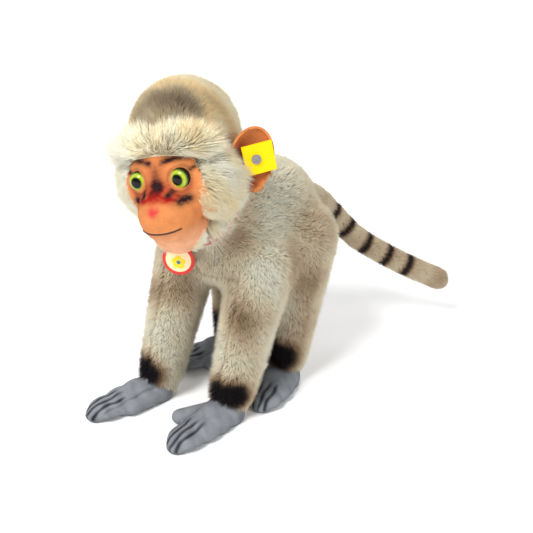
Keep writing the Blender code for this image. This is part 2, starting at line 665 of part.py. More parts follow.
def make_rivet_and_flag(pivot, at, out, rearwards, bore, steel, ribbon):
    """A two-headed button through the ear, and the folded ribbon that it holds against the ear's rim."""
    ribbon_rear = at - rearwards * TURNING_GAP
    ribbon_front = ribbon_rear - rearwards * (2 * RIBBON + FOLD_GAP)
    cap_rear = ribbon_front - rearwards * GAP
    behind_ear = at + rearwards * (EAR_DEPTH + GAP)
    bm = bmesh.new()
    into_cap = rearwards * RIVET_CAP / 2
    drum(bm, cap_rear - into_cap, behind_ear + into_cap, RIVET_SHANK, segments=16)
    front_cap = cylinder("rivet_front_cap", cap_rear - rearwards * RIVET_CAP, cap_rear, RIVET_RADIUS)
    rear_cap = cylinder("rivet_rear_cap", behind_ear, behind_ear + rearwards * RIVET_CAP, RIVET_RADIUS)
    shank = helper("rivet_shank", bm)
    hang_on(pivot, piece("ear_button", shank, steel, ("UNION", front_cap), ("UNION", rear_cap)))

    bm = bmesh.new()
    place = Matrix((out, rearwards, UP)).transposed().to_4x4()
    place.translation = ribbon_front
    thick = 2 * RIBBON + FOLD_GAP
    blank = bmesh.ops.create_cube(bm, size=1)["verts"]
    bmesh.ops.scale(bm, verts=blank, vec=(FLAG_LENGTH, thick, FLAG_HEIGHT))
    bmesh.ops.translate(bm, verts=blank, vec=(FLAG_LENGTH / 2 - FLAG_LAP, thick / 2, 0))
    bmesh.ops.transform(bm, verts=bm.verts, matrix=place)
    whole = helper("flag_blank", bm)
    bm = bmesh.new()
    gap = bmesh.ops.create_cube(bm, size=1)["verts"]
    bmesh.ops.scale(bm, verts=gap, vec=(FLAG_LENGTH, FOLD_GAP, FLAG_HEIGHT * 2))
    bmesh.ops.translate(bm, verts=gap, vec=(FLAG_LENGTH / 2 - FLAG_LAP - RIBBON * 2, thick / 2, 0))
    bmesh.ops.transform(bm, verts=bm.verts, matrix=place)
    fold = helper("flag_fold_gap", bm)
    flag = piece("ear_flag", whole, ribbon, ("DIFFERENCE", fold), ("DIFFERENCE", bore))
    flag_pivot = pivot_at("flag_pivot", at)
    hang_on(flag_pivot, flag)
    hang_on(pivot, flag_pivot)


# ---------------------------------------------------------------- collar and paper tag


def collar_ring(name, inner, outer, clearance):
    """A ring round the neck, just under the joint."""
    top = NECK_CENTRE - NECK_AXIS * (TURNING_GAP / 2 + COLLAR_DROP - clearance)
    bottom = NECK_CENTRE - NECK_AXIS * (TURNING_GAP / 2 + COLLAR_DROP + COLLAR_WIDTH + clearance)
    bore = cylinder(name + "_bore", bottom - NECK_AXIS * MM, top + NECK_AXIS * MM, inner)
    return hidden(carved(name, cylinder(name + "_blank", bottom, top, outer), ("DIFFERENCE", bore)))


def make_collar(ribbon, card, thread):
    """A ribbon collar. A thread loop hangs from its front, and a round card tag hangs from the loop."""
    collar_pivot = pivot_at("collar_pivot", NECK_CENTRE)
    ring = collar_ring("collar_ring", COLLAR_RADIUS, COLLAR_RADIUS + COLLAR_THICKNESS, 0)
    collar = piece("collar", ring, ribbon)
    front = Quaternion(NECK_AXIS, math.radians(COLLAR_TURN)) @ (NECK_LEAN @ -BACK)
    collar_front = NECK_CENTRE - NECK_AXIS * (TURNING_GAP / 2 + COLLAR_DROP + THREAD_DROP)
    collar_front += front * (COLLAR_RADIUS + COLLAR_THICKNESS)
    facing = Quaternion(UP, math.radians(TAG_FACING)) @ -BACK
    loop_middle = collar_front + facing * (LOOP_RADIUS + THREAD_RADIUS + 3 * GAP)
    bm = bmesh.new()
    section = bmesh.ops.create_circle(bm, segments=6, radius=THREAD_RADIUS)["verts"]
    bmesh.ops.rotate(bm, verts=section, matrix=Matrix.Rotation(math.radians(90), 3, "X"))
    bmesh.ops.translate(bm, verts=section, vec=LEFT * LOOP_RADIUS)
    bmesh.ops.spin(
        bm, geom=bm.edges[:], cent=(0, 0, 0), axis=UP, angle=math.tau, steps=16, use_merge=True
    )
    across = facing.cross(UP)
    turn = Matrix((facing, UP, across)).transposed().to_4x4()
    bmesh.ops.transform(bm, verts=bm.verts, matrix=Matrix.Translation(loop_middle) @ turn)
    loop = piece("tag_thread", helper("tag_thread_blank", bm), thread)
    hang_on(collar_pivot, collar, loop)

    hung_at = loop_middle - UP * LOOP_RADIUS
    tag_pivot = pivot_at("tag_pivot", hung_at)
    hole = hung_at - UP * (TAG_HOLE - THREAD_RADIUS - 2 * GAP)
    middle = hole - UP * (TAG_RADIUS - TAG_HOLE - TAG_EDGE)
    half = facing * TAG_THICKNESS / 2
    disc = cylinder("tag_blank", middle - half, middle + half, TAG_RADIUS)
    bore = cylinder("tag_bore", hole - half * 5, hole + half * 5, TAG_HOLE)
    tag = piece("paper_tag", disc, card, ("DIFFERENCE", bore))
    hang_on(tag_pivot, tag)
    outer = COLLAR_RADIUS + COLLAR_THICKNESS + TURNING_GAP
    return collar_ring("collar_room", COLLAR_RADIUS - TURNING_GAP, outer, TURNING_GAP)


# ---------------------------------------------------------------- tail


def tail_points():
    """The tail's middle line: out of the rump, down, and round to the monkey's left."""
    root = Vector((0, CHEST_FRONT + TRUNK_LENGTH - TAIL_SINK, TAIL_HEIGHT))
    points = [root]
    for step in TAIL_STEPS:
        points.append(points[-1] + Vector(step) * MM)
    return points


def tube(name, points, radius, sides=8):
    """A round rod along the points, with flat ends, made from a curve."""
    curve = bpy.data.curves.new(name, "CURVE")
    curve.dimensions = "3D"
    curve.bevel_depth = radius
    curve.bevel_resolution = sides // 4 - 1
    curve.use_fill_caps = True
    spline = curve.splines.new("POLY")
    spline.points.add(len(points) - 1)
    for spot, place in zip(spline.points, points):
        spot.co = (*place, 1)
    obj = bpy.data.objects.new(name, curve)
    bpy.context.scene.collection.objects.link(obj)
    graph = bpy.context.evaluated_depsgraph_get()
    mesh = bpy.data.meshes.new_from_object(obj.evaluated_get(graph))
    bpy.data.objects.remove(obj)
    bm = bmesh.new()
    bm.from_mesh(mesh)
    bmesh.ops.remove_doubles(bm, verts=bm.verts, dist=0.01 * MM)
    return helper(name, bm)


def smooth_line(points, between=2):
    """Catmull-Rom points through the given ones."""
    ends = [points[0] * 2 - points[1], *points, points[-1] * 2 - points[-2]]
    line = []
    for a, b, c, d in zip(ends, ends[1:], ends[2:], ends[3:]):
        for step in range(between):
            t = step / between
            bend, twist = 2 * a - 5 * b + 4 * c - d, 3 * b - a - 3 * c + d
            line.append((2 * b + (c - a) * t + bend * t**2 + twist * t**3) / 2)
    return [*line, points[-1]]


def rounded(name, points, radius, round_end, sides=12):
    """A tube whose start, and end if asked, are closed by half balls."""
    form = tube(name, points, radius, sides)
    steps = []
    for wanted, place, word in ((True, points[0], "start"), (round_end, points[-1], "end")):
        if wanted:
            bm = bmesh.new()
            ball(bm, place, (radius * 1.001,) * 3, segments=sides)
            steps.append(("UNION", helper(f"{name}_{word}", bm)))
    return hidden(carved(name + "_rounded", form, *steps))


def make_tail(plush, wool, steel):
    """Two lengths of plush tube with wire inside: the first turns on the rump, the second on the first."""
    points = tail_points()
    middle = len(points) // 2
    root, bend = points[0], points[middle]
    line = smooth_line(points)
    bend_at = line.index(bend)
    root_pivot = pivot_at("tail_pivot", root)
    bend_pivot = pivot_at("tail_bend_pivot", bend)
    bm = bmesh.new()
    ball(bm, bend, (TAIL_RADIUS + TURNING_GAP,) * 3, segments=16)
    bend_socket = helper("bend_socket", bm)
    back_of_bend = (line[bend_at] - line[bend_at - 1]).normalized()
    stop = half_space("tail_base_end", bend - back_of_bend * TAIL_RADIUS * 0.5, -back_of_bend)
    base_end = (("INTERSECT", stop), ("DIFFERENCE", bend_socket))
    lengths = (
        ("base", line[: bend_at + 1], False, base_end, root_pivot),
        ("tip", line[bend_at:], True, (), bend_pivot),
    )
    for word, part, last, trims, pivot in lengths:
        out = (part[1] - part[0]).normalized()
        open_end = half_space(f"tail_{word}_open_end", part[0] - out * TAIL_RADIUS * 0.4, out)
        trims = (("INTERSECT", open_end), *trims)
        core_radius = TAIL_RADIUS - TAIL_PLUSH
        skin = rounded(f"tail_{word}_form", part, TAIL_RADIUS, last)
        core = rounded(f"tail_{word}_core", part, core_radius, last, sides=8)
        room = rounded(f"tail_{word}_room", part, core_radius + GAP, last, sides=8)
        wire = part[1:-1]
        behind = part[0] - out * TAIL_RADIUS
        wire_room = tube(f"tail_{word}_wire_room", [behind, part[0], *wire], WIRE_RADIUS + 2 * GAP)
        made = [
            piece(f"tail_skin_{word}", skin, plush, ("DIFFERENCE", room), *trims, solver="MANIFOLD"),
            piece(f"tail_stuffing_{word}", core, wool, ("DIFFERENCE", wire_room), *trims, solver="MANIFOLD"),
            piece(f"tail_wire_{word}", tube(f"tail_{word}_wire", wire, WIRE_RADIUS), steel),
        ]
        hang_on(pivot, *made)
    bm = bmesh.new()
    ball(bm, root, (TAIL_RADIUS + TAIL_ROOM,) * 3)
    return helper("tail_socket", bm)


# ---------------------------------------------------------------- the monkey


clear_scene()
plush_cloth = material("mohair_plush", (0.55, 0.5, 0.44), 0.95)
pale_plush = material("long_mohair", (0.85, 0.83, 0.76), 0.95)
grey_felt = material("grey_felt", (0.6, 0.6, 0.62), 0.95)
face_felt = material("orange_felt", (0.9, 0.5, 0.33), 0.95)
glass = material("eye_glass", (0.5, 0.6, 0.1), 0.1)
steel = material("steel_wire", (0.6, 0.6, 0.6), 0.35, 1.0)
wood_wool = material("wood_wool", (0.75, 0.62, 0.4), 0.9)
hardboard = material("hardboard", (0.35, 0.25, 0.17), 0.8)
red_ribbon = material("red_ribbon", (0.6, 0.04, 0.03), 0.6)
yellow_ribbon = material("yellow_ribbon", (0.95, 0.75, 0.03), 0.6)
card = material("printed_card", (0.9, 0.8, 0.6), 0.5)
dark_thread = material("dark_thread", (0.06, 0.04, 0.04), 0.8)

body = body_form()
collar_room = make_collar(red_ribbon, card, dark_thread)
tail_socket = make_tail(plush_cloth, wood_wool, steel)
above_soles = block("above_soles", (-FAR, -FAR, SOLE + GAP), (FAR, FAR, FAR))
below_neck = half_space("below_neck", NECK_CENTRE - NECK_AXIS * TURNING_GAP / 2, -NECK_AXIS)
body_trims = (
    ("INTERSECT", above_soles),
    ("INTERSECT", below_neck),
    ("DIFFERENCE", tail_socket),
    ("DIFFERENCE", collar_room),
)
make_body_skin(body, body_trims, plush_cloth)
make_body_stuffing(body, body_trims, wood_wool)
make_paws(body, grey_felt, wood_wool)

head_pivot = pivot_at("head_pivot", NECK_CENTRE)
make_neck(hardboard, steel, head_pivot)
head_pile = make_head(head_pivot, pale_plush, face_felt, glass, wood_wool, steel, dark_thread)
make_ears(head_pivot, head_pile, face_felt, steel, yellow_ribbon)
head_pivot.rotation_mode = "QUATERNION"
head_pivot.rotation_quaternion = Quaternion(NECK_AXIS, math.radians(HEAD_TURN))

monkey = pivot_at("monkey", -LEFT * FRONT_SPACING / 2)
for obj in list(bpy.data.objects):
    if obj.parent is None and obj is not monkey and not obj.hide_render:
        obj.parent = monkey
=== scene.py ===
"""The looks of a stuffed monkey on all fours: mohair plush over wood wool, felt face, ears, hands and
feet, glass eyes, a ribbon collar with a card tag, and a button with a ribbon flag in its left ear."""

import math

import bmesh
import bpy
import numpy as np
from mathutils import Matrix, Quaternion, Vector
from mathutils.bvhtree import BVHTree


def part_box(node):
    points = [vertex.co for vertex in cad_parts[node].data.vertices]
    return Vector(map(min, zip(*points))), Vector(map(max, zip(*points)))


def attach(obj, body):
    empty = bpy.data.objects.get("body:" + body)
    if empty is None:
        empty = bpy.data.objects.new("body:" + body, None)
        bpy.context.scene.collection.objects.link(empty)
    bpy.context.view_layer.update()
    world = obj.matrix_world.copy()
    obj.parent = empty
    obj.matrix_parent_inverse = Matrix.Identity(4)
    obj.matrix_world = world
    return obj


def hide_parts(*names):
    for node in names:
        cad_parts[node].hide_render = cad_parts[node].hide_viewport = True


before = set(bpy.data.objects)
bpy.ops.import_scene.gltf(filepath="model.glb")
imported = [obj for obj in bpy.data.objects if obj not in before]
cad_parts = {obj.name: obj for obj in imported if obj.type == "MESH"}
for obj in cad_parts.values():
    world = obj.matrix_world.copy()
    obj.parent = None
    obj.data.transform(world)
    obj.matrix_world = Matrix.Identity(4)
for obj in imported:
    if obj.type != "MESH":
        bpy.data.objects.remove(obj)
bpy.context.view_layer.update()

MM = 0.001
UP = Vector((0, 0, 1))
BACK = Vector((0, 1, 0))
LEFT = Vector((1, 0, 0))
AT_LEFT_HAND = Matrix.Translation((-25 * MM, 0, 0))  # from the monkey's middle plane to the origin

# ---------------------------------------------------------------- body skin
# The trunk and legs are one skin of woven cloth, sewn in panels and packed hard with wood wool.
# It is built from the round wads inside it, fused and eased smooth, and cut off at the neck and soles.

BELLY, TRUNK_DEPTH, TRUNK_LENGTH, TRUNK_WIDTH, CHEST_FRONT = (v * MM for v in (78, 73, 102, 70, -9))
FRONT_SPACING, HIND_SPACING, HIND_ANKLE_Y, STRIDE = (v * MM for v in (50, 48, 54, 14))
NECK_CENTRE = Vector((0, -1 * MM, 137 * MM))
NECK_LEAN = Quaternion(LEFT, math.radians(38))
NECK_AXIS = NECK_LEAN @ UP
NECK_RADIUS = 24 * MM
PILE = 4.2 * MM  # how far the short pile stands off the cloth


def ball(bm, centre, radii, turn=None, around=40):
    place = Matrix.Translation(centre) @ (turn or Matrix()) @ Matrix.Diagonal((*radii, 1))
    bmesh.ops.create_uvsphere(bm, u_segments=around, v_segments=around // 2, radius=1, matrix=place)


def limb(bm, stations):
    for centre, radius in stations:
        ball(bm, centre, (radius,) * 3)
    for (start, radius), (end, end_radius) in zip(stations, stations[1:]):
        along = end - start
        turn = UP.rotation_difference(along).to_matrix().to_4x4()
        bmesh.ops.create_cone(
            bm, cap_ends=True, segments=40, radius1=radius, radius2=end_radius,
            depth=along.length, matrix=Matrix.Translation((start + end) / 2) @ turn,
        )


def object_from(name, bm):
    mesh = bpy.data.meshes.new(name)
    bmesh.ops.recalc_face_normals(bm, faces=bm.faces)
    bm.to_mesh(mesh)
    bm.free()
    obj = bpy.data.objects.new(name, mesh)
    bpy.context.scene.collection.objects.link(obj)
    obj.data.shade_smooth()
    return obj


def settle(obj):
    """Applies an object's modifiers to its mesh."""
    graph = bpy.context.evaluated_depsgraph_get()
    mesh = bpy.data.meshes.new_from_object(obj.evaluated_get(graph))
    obj.modifiers.clear()
    obj.data = mesh
    obj.data.shade_smooth()
    return obj


def stuffed(name, bm, voxel, rounds):
    """One smooth stuffed form from overlapping wads."""
    obj = object_from(name, bm)
    fuse = obj.modifiers.new("fuse", "REMESH")
    fuse.mode = "VOXEL"
    fuse.voxel_size = voxel
    ease = obj.modifiers.new("ease", "SMOOTH")
    ease.factor = 0.5
    ease.iterations = rounds
    return settle(obj)


def reshape(obj, cuts=(), grow=0.0):
    """Swells a closed mesh, cuts it off on planes (point, outward normal) and closes it."""
    bm = bmesh.new()
    bm.from_mesh(obj.data)
    bm.normal_update()
    if grow:
        shifts = [(vert, vert.normal * grow) for vert in bm.verts]
        for vert, shift in shifts:
            vert.co += shift
    for point, normal in cuts:
        whole = bm.verts[:] + bm.edges[:] + bm.faces[:]
        cut = bmesh.ops.bisect_plane(bm, geom=whole, plane_co=point, plane_no=normal, clear_outer=True)
        rim = [part for part in cut["geom_cut"] if isinstance(part, bmesh.types.BMEdge)]
        bmesh.ops.holes_fill(bm, edges=rim, sides=0)
    bmesh.ops.triangulate(bm, faces=[face for face in bm.faces if len(face.verts) > 4])
    bmesh.ops.recalc_face_normals(bm, faces=bm.faces)
    bm.to_mesh(obj.data)
    bm.free()
    obj.data.shade_smooth()
    return obj


def points_of(obj):
    co = np.empty(len(obj.data.vertices) * 3)
    obj.data.vertices.foreach_get("co", co)
    return co.reshape(-1, 3)


def tint(obj, name, values):
    """Stores one number for each vertex, for a material to read."""
    layer = obj.data.attributes.new(name, "FLOAT", "POINT")
    layer.data.foreach_set("value", np.asarray(values, np.float32))


def spots(points, patches):
    """The sum of soft patches, each (centre in mm, radii in mm, strength). Most are airbrushed
    paint; the body's also hold a painted highlight and painted shade.
    """
    total = np.zeros(len(points))
    for centre, radii, strength in patches:
        far = (points / MM - np.array(centre)) / np.array(radii)
        total += strength * np.exp(-(far**2).sum(axis=1))
    return total


def wander(points, size, seed):
    """A smooth wandering vector at each point, about 1 long, that changes over this size."""
    rng = np.random.default_rng(seed)
    total = np.zeros_like(points)
    for _ in range(5):
        way = rng.normal(size=3)
        way *= 2 * math.pi / (size * np.linalg.norm(way)) * rng.uniform(0.6, 1.5)
        total += rng.normal(size=3) * np.sin(points @ way + rng.uniform(0, 6.28))[:, None]
    return total / 2.2


def leg_line(side, spacing, ankle_y, lean, top_radius, ankle_radius):
    top = Vector((side * spacing / 2, ankle_y + lean, BELLY + top_radius))
    ankle = Vector((side * spacing / 2, ankle_y, ankle_radius))
    stations = [(ankle - UP * ankle_radius, ankle_radius * 0.82), (ankle, ankle_radius)]
    for t in (0.35, 0.7, 1.0):
        stations.append((ankle.lerp(top, t), ankle_radius + (top_radius - ankle_radius) * t))
    return stations


body_wads = bmesh.new()
half_depth, half_width = TRUNK_DEPTH / 2, TRUNK_WIDTH / 2
middle_z, front_y = BELLY + half_depth, CHEST_FRONT + half_depth
rear_y = CHEST_FRONT + TRUNK_LENGTH - half_depth
ball(body_wads, (0, front_y, middle_z - 4 * MM), (half_width, half_depth, half_depth - 2 * MM))
ball(body_wads, (0, (front_y + rear_y) / 2, middle_z), (half_width - 3 * MM, half_depth, half_depth))
ball(body_wads, (0, rear_y, middle_z + 4 * MM), (half_width, half_depth, half_depth))
neck_top = NECK_CENTRE + NECK_AXIS * 4 * MM
limb(body_wads, [(Vector((0, front_y, middle_z)), NECK_RADIUS), (neck_top, NECK_RADIUS)])
for side in (1, -1):
    limb(body_wads, leg_line(side, FRONT_SPACING, -STRIDE if side < 0 else 0, 28 * MM, 22 * MM, 16 * MM))
    limb(body_wads, leg_line(side, HIND_SPACING, HIND_ANKLE_Y, 10 * MM, 26 * MM, 14.5 * MM))
body_cloth = stuffed("body_cloth", body_wads, 2.4 * MM, 14)
reshape(
    body_cloth,
    cuts=((NECK_CENTRE - NECK_AXIS * 0.8 * MM, NECK_AXIS), (Vector((0, 0, 1.8 * MM)), -UP)),
    grow=-PILE,
)

BODY_SPOTS = [
    ((6, -8, 100), (18, 14, 20), 0.12),
    ((0, 40, 82), (20, 40, 14), 0.1),
    ((25, 2, 124), (15, 12, 11), 0.2),
    # Painted highlight: the left flank made paler where the light falls on it.
    ((28, 50, 140), (18, 20, 16), -0.16),
    ((36, 10, 100), (14, 16, 13), -0.1),
    ((0, 30, 150), (26, 50, 12), 0.1),
    ((-15, -11, 84), (14, 12, 14), 0.2),
    ((-34, 4, 112), (16, 18, 22), 0.2),
    ((-25, 0, 124), (15, 12, 11), 0.24),
]
for side, hand_y in ((1, 0), (-1, -14)):
    BODY_SPOTS += [
        ((side * 35, 1 + hand_y / 2, 73), (14, 15, 12), 0.34),
        ((side * 30, -6 + hand_y, 50), (12, 12, 10), -0.1),
        # Painted shade in the crease between the front leg and the haunch.
        ((side * 41, 36, 100), (8, 6, 24), 0.22),
        ((side * 40, 66, 118), (14, 16, 20), 0.22),
        ((side * 42, 54, 84), (12, 16, 14), 0.2),
        ((side * 34, 52, 52), (12, 14, 12), 0.12),
        ((side * 26, -13 + hand_y, 23), (12, 9, 9), 1.3),
        ((side * 36, -7 + hand_y, 23), (6, 8, 8), 0.75),
        ((side * 29, 42, 26), (12, 9, 11), 1.35),
        ((side * 13, 46, 30), (9, 10, 11), 0.8),
    ]


def body_tone(points):
    """From pale cream at 0, through grey-beige and taupe, to black at 1."""
    drift = 0.05 * wander(points, 30 * MM, 3)[:, 0] + 0.03 * wander(points, 9 * MM, 4)[:, 1]
    return np.clip(0.18 + spots(points, BODY_SPOTS) + drift, 0.02, 0.98)


tint(body_cloth, "tone", body_tone(points_of(body_cloth)))


def material(name):
    """A new material, with the nodes that its surface is made of, and its shader."""
    made = bpy.data.materials.new(name)
    made.use_nodes = True
    return made, made.node_tree, made.node_tree.nodes["Principled BSDF"]


def ramp(tree, stops, source):
    """A colour ramp from (place, colour) stops."""
    node = tree.nodes.new("ShaderNodeValToRGB")
    line = node.color_ramp.elements
    line[0].position, line[0].color = stops[0][0], (*stops[0][1], 1)
    line[1].position, line[1].color = stops[-1][0], (*stops[-1][1], 1)
    for place, colour in stops[1:-1]:
        line.new(place).color = (*colour, 1)
    tree.links.new(source, node.inputs["Fac"])
    return node.outputs["Color"]


def mixed(tree, kind, factor, a, b):
    """A colour mix, whose factor and colours are sockets or plain values."""
    node = tree.nodes.new("ShaderNodeMix")
    node.data_type = "RGBA"
    node.blend_type = kind
    for socket, value in ((node.inputs["Factor"], factor), (node.inputs[6], a), (node.inputs[7], b)):
        if isinstance(value, bpy.types.NodeSocket):
            tree.links.new(value, socket)
        elif isinstance(value, (tuple, list)):
            socket.default_value = (*value, 1)
        else:
            socket.default_value = value
    return node.outputs[2]


def attribute(tree, name):
    node = tree.nodes.new("ShaderNodeAttribute")
    node.attribute_name = name
    return node.outputs["Fac"]


def noise(tree, where, scale, detail):
    """Smooth random values over a place socket. The scale is a socket or a plain value."""
    node = tree.nodes.new("ShaderNodeTexNoise")
    node.inputs["Detail"].default_value = detail
    tree.links.new(where, node.inputs["Vector"])
    if isinstance(scale, bpy.types.NodeSocket):
        tree.links.new(scale, node.inputs["Scale"])
    else:
        node.inputs["Scale"].default_value = scale
    return node


def object_place(tree):
    return tree.nodes.new("ShaderNodeTexCoord").outputs["Object"]


def spread(tree, source, low, high):
    """The value rescaled so that low gives 0 and high gives 1, and held between them."""
    node = tree.nodes.new("ShaderNodeMapRange")
    node.inputs["From Min"].default_value = low
    node.inputs["From Max"].default_value = high
    tree.links.new(source, node.inputs["Value"])
    return node.outputs["Result"]


def bumped(tree, height, depth):
    """The surface normal over a relief of this depth, a socket or a plain value."""
    node = tree.nodes.new("ShaderNodeBump")
    tree.links.new(height, node.inputs["Height"])
    if isinstance(depth, bpy.types.NodeSocket):
        tree.links.new(depth, node.inputs["Distance"])
    else:
        node.inputs["Distance"].default_value = depth
    return node.outputs["Normal"]


SOCKETS = {"colour": "NodeSocketColor", "value": "NodeSocketFloat", "vector": "NodeSocketVector"}


def new_group(name, takes, gives):
    """A shader node group with these (name, kind) sockets, and the sockets as its own nodes see them."""
    group = bpy.data.node_groups.new(name, "ShaderNodeTree")
    for in_out, rows in (("INPUT", takes), ("OUTPUT", gives)):
        for label, kind in rows:
            group.interface.new_socket(label, in_out=in_out, socket_type=SOCKETS[kind])
    return group, group.nodes.new("NodeGroupInput").outputs, group.nodes.new("NodeGroupOutput").inputs


def use_group(tree, group, values):
    """The group as a node of this tree, with its inputs linked or set, and its outputs."""
    node = tree.nodes.new("ShaderNodeGroup")
    node.node_tree = group
    for label, value in values.items():
        if isinstance(value, bpy.types.NodeSocket):
            tree.links.new(value, node.inputs[label])
        elif group.interface.items_tree[label].socket_type == SOCKETS["colour"]:
            node.inputs[label].default_value = (*value, 1)
        else:
            node.inputs[label].default_value = value
    return node.outputs


def surfaced(tree, outputs, shader):
    """Links a group's colour and normal to the shader."""
    tree.links.new(outputs["Colour"], shader.inputs["Base Color"])
    tree.links.new(outputs["Normal"], shader.inputs["Normal"])


GREY_MOHAIR = (
    (0.0, (1.0, 1.0, 0.86)), (0.2, (0.93, 0.84, 0.63)), (0.38, (0.68, 0.53, 0.36)),
    (0.55, (0.38, 0.25, 0.145)), (0.72, (0.06, 0.04, 0.035)), (1.0, (0.002, 0.002, 0.006)),
)
CREAM_MOHAIR = (
    (0.0, (1.0, 0.99, 0.87)), (0.2, (1.0, 0.91, 0.64)), (0.4, (0.92, 0.70, 0.38)),
    (0.6, (0.44, 0.36, 0.23)), (0.8, (0.25, 0.19, 0.12)), (1.0, (0.12, 0.09, 0.06)),
)


colour_and_normal = (("Colour", "colour"), ("Normal", "vector"))
ground_weave, takes, gives = new_group("ground_weave", (("Tone colour", "colour"),), colour_and_normal)
threads = noise(ground_weave, object_place(ground_weave), 1400, 3).outputs["Fac"]
shade = ramp(ground_weave, ((0.3, (0.42, 0.40, 0.38)), (0.7, (0.75, 0.73, 0.7))), threads)
ground_weave.links.new(mixed(ground_weave, "MULTIPLY", 1.0, takes["Tone colour"], shade), gives["Colour"])
ground_weave.links.new(bumped(ground_weave, threads, 0.3 * MM), gives["Normal"])


def woven_backing(name, colours):
    """Woven ground cloth seen between the pile: an over-and-under weave, coloured by the pile's tone."""
    made, tree, shader = material(name)
    tone_colour = ramp(tree, colours, attribute(tree, "tone"))
    surfaced(tree, use_group(tree, ground_weave, {"Tone colour": tone_colour}), shader)
    shader.inputs["Roughness"].default_value = 0.95
    return made


def finish(obj, made, body, slot, *nodes):
    """Gives a piece its material and its CAD body, and hides the CAD nodes that it stands for.
    The slot is not used.
    """
    obj.data.materials.clear()
    obj.data.materials.append(made)
    if body:
        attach(obj, body)
    if nodes:
        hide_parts(*nodes)
    return obj


grey_backing = woven_backing("grey_backing", GREY_MOHAIR)

# ---------------------------------------------------------------- short grey mohair of the body
# Mohair pile stands on the cloth in short bright hairs, brushed down the legs and back along the trunk.
# Each hair is a tapered spike. Brown and black were airbrushed on after the monkey was sewn. The
# tone also holds a painted highlight on the left flank, and painted shade in the crease between each
# front leg and the haunch.

HAIR_WIDTH = 0.16 * MM  # half of a hair's width at its root


def hair_shape(bent):
    """One hair 1 long: its points, and its triangles."""
    bm = bmesh.new()
    place = Matrix.Translation((0, 0, 0.5))
    bmesh.ops.create_cone(bm, cap_ends=True, segments=3, radius1=1, radius2=0, depth=1, matrix=place)
    if bent:
        whole = bm.verts[:] + bm.edges[:] + bm.faces[:]
        bmesh.ops.bisect_plane(bm, geom=whole, plane_co=(0, 0, 0.5), plane_no=(0, 0, 1))
    bmesh.ops.remove_doubles(bm, verts=bm.verts, dist=1e-5)
    bmesh.ops.triangulate(bm, faces=bm.faces)
    bmesh.ops.recalc_face_normals(bm, faces=bm.faces)
    bm.verts.index_update()
    points = np.array([vert.co[:] for vert in bm.verts])
    faces = np.array([[vert.index for vert in face.verts] for face in bm.faces])
    bm.free()
    return points, faces


def roots_on(cloth, count, seed):
    """Evenly scattered points on a cloth, and its normal at each."""
    rng = np.random.default_rng(seed)
    mesh = cloth.data
    mesh.calc_loop_triangles()
    corners = np.empty(len(mesh.loop_triangles) * 3, np.int32)
    mesh.loop_triangles.foreach_get("vertices", corners)
    corners = corners.reshape(-1, 3)
    place = points_of(cloth)
    normal = np.empty(len(mesh.vertices) * 3)
    mesh.vertices.foreach_get("normal", normal)
    normal = normal.reshape(-1, 3)
    a, b, c = (place[corners[:, i]] for i in range(3))
    area = np.linalg.norm(np.cross(b - a, c - a), axis=1)
    chosen = rng.choice(len(corners), count, p=area / area.sum())
    r = rng.random((2, count))
    low = np.sqrt(r[0])
    share = np.stack([1 - low, low * (1 - r[1]), low * r[1]], axis=1)[:, :, None]
    at = (place[corners[chosen]] * share).sum(axis=1)
    out = (normal[corners[chosen]] * share).sum(axis=1)
    return at, out / np.linalg.norm(out, axis=1)[:, None]


def unit(vectors):
    return vectors / np.maximum(np.linalg.norm(vectors, axis=1), 1e-9)[:, None]


def pile(name, at, out, flow, length, lean, droop, tone, seed, width=HAIR_WIDTH, bent=False):
    """Hairs rooted at these points. lean is how far they are brushed along the flow, droop how they curl."""
    rng = np.random.default_rng(seed)
    count = len(at)
    points, faces = hair_shape(bent)
    flow = flow - out * (flow * out).sum(axis=1)[:, None]
    loose = rng.normal(size=(count, 3)) * 0.16 + wander(at, 7 * MM, seed) * 0.16
    start = unit(out + unit(flow) * lean + loose)
    curl = (unit(flow) * 0.5 + np.array([0, 0, -0.35])) * droop
    side = unit(np.cross(start, rng.normal(size=(count, 3))))
    other = np.cross(start, side)
    size = length * rng.uniform(0.72, 1.12, count)
    t = points[:, 2][None, :, None]
    place = at[:, None] + size[:, None, None] * (t * start[:, None] + t**2 * curl[:, None])
    round_hair = side[:, None] * points[:, 0][None, :, None] + other[:, None] * points[:, 1][None, :, None]
    place = place + width * round_hair
    faces = (faces[None] + (np.arange(count) * len(points))[:, None, None]).reshape(-1, 3)
    mesh = bpy.data.meshes.new(name)
    mesh.vertices.add(count * len(points))
    mesh.vertices.foreach_set("co", place.reshape(-1))
    mesh.loops.add(len(faces) * 3)
    mesh.loops.foreach_set("vertex_index", faces.reshape(-1))
    mesh.polygons.add(len(faces))
    mesh.polygons.foreach_set("loop_start", np.arange(len(faces)) * 3)
    mesh.polygons.foreach_set("loop_total", np.full(len(faces), 3))
    mesh.update()
    # The chart runs root to tip in u, and pale to dark in v. A hair is a sliver of it.
    chart = mesh.uv_layers.new(name="OFBake")
    shade = np.clip(tone + rng.normal(size=count) * 0.035, 0.02, 0.97)
    u = np.tile(0.04 + 0.92 * points[:, 2], count)
    v = (shade[:, None] + 0.004 * points[:, 0][None]).reshape(-1)
    chart.data.foreach_set("uv", np.stack([u, v], axis=1)[faces.reshape(-1)].reshape(-1))
    mesh.shade_smooth()
    obj = bpy.data.objects.new(name, mesh)
    bpy.context.scene.collection.objects.link(obj)
    return obj


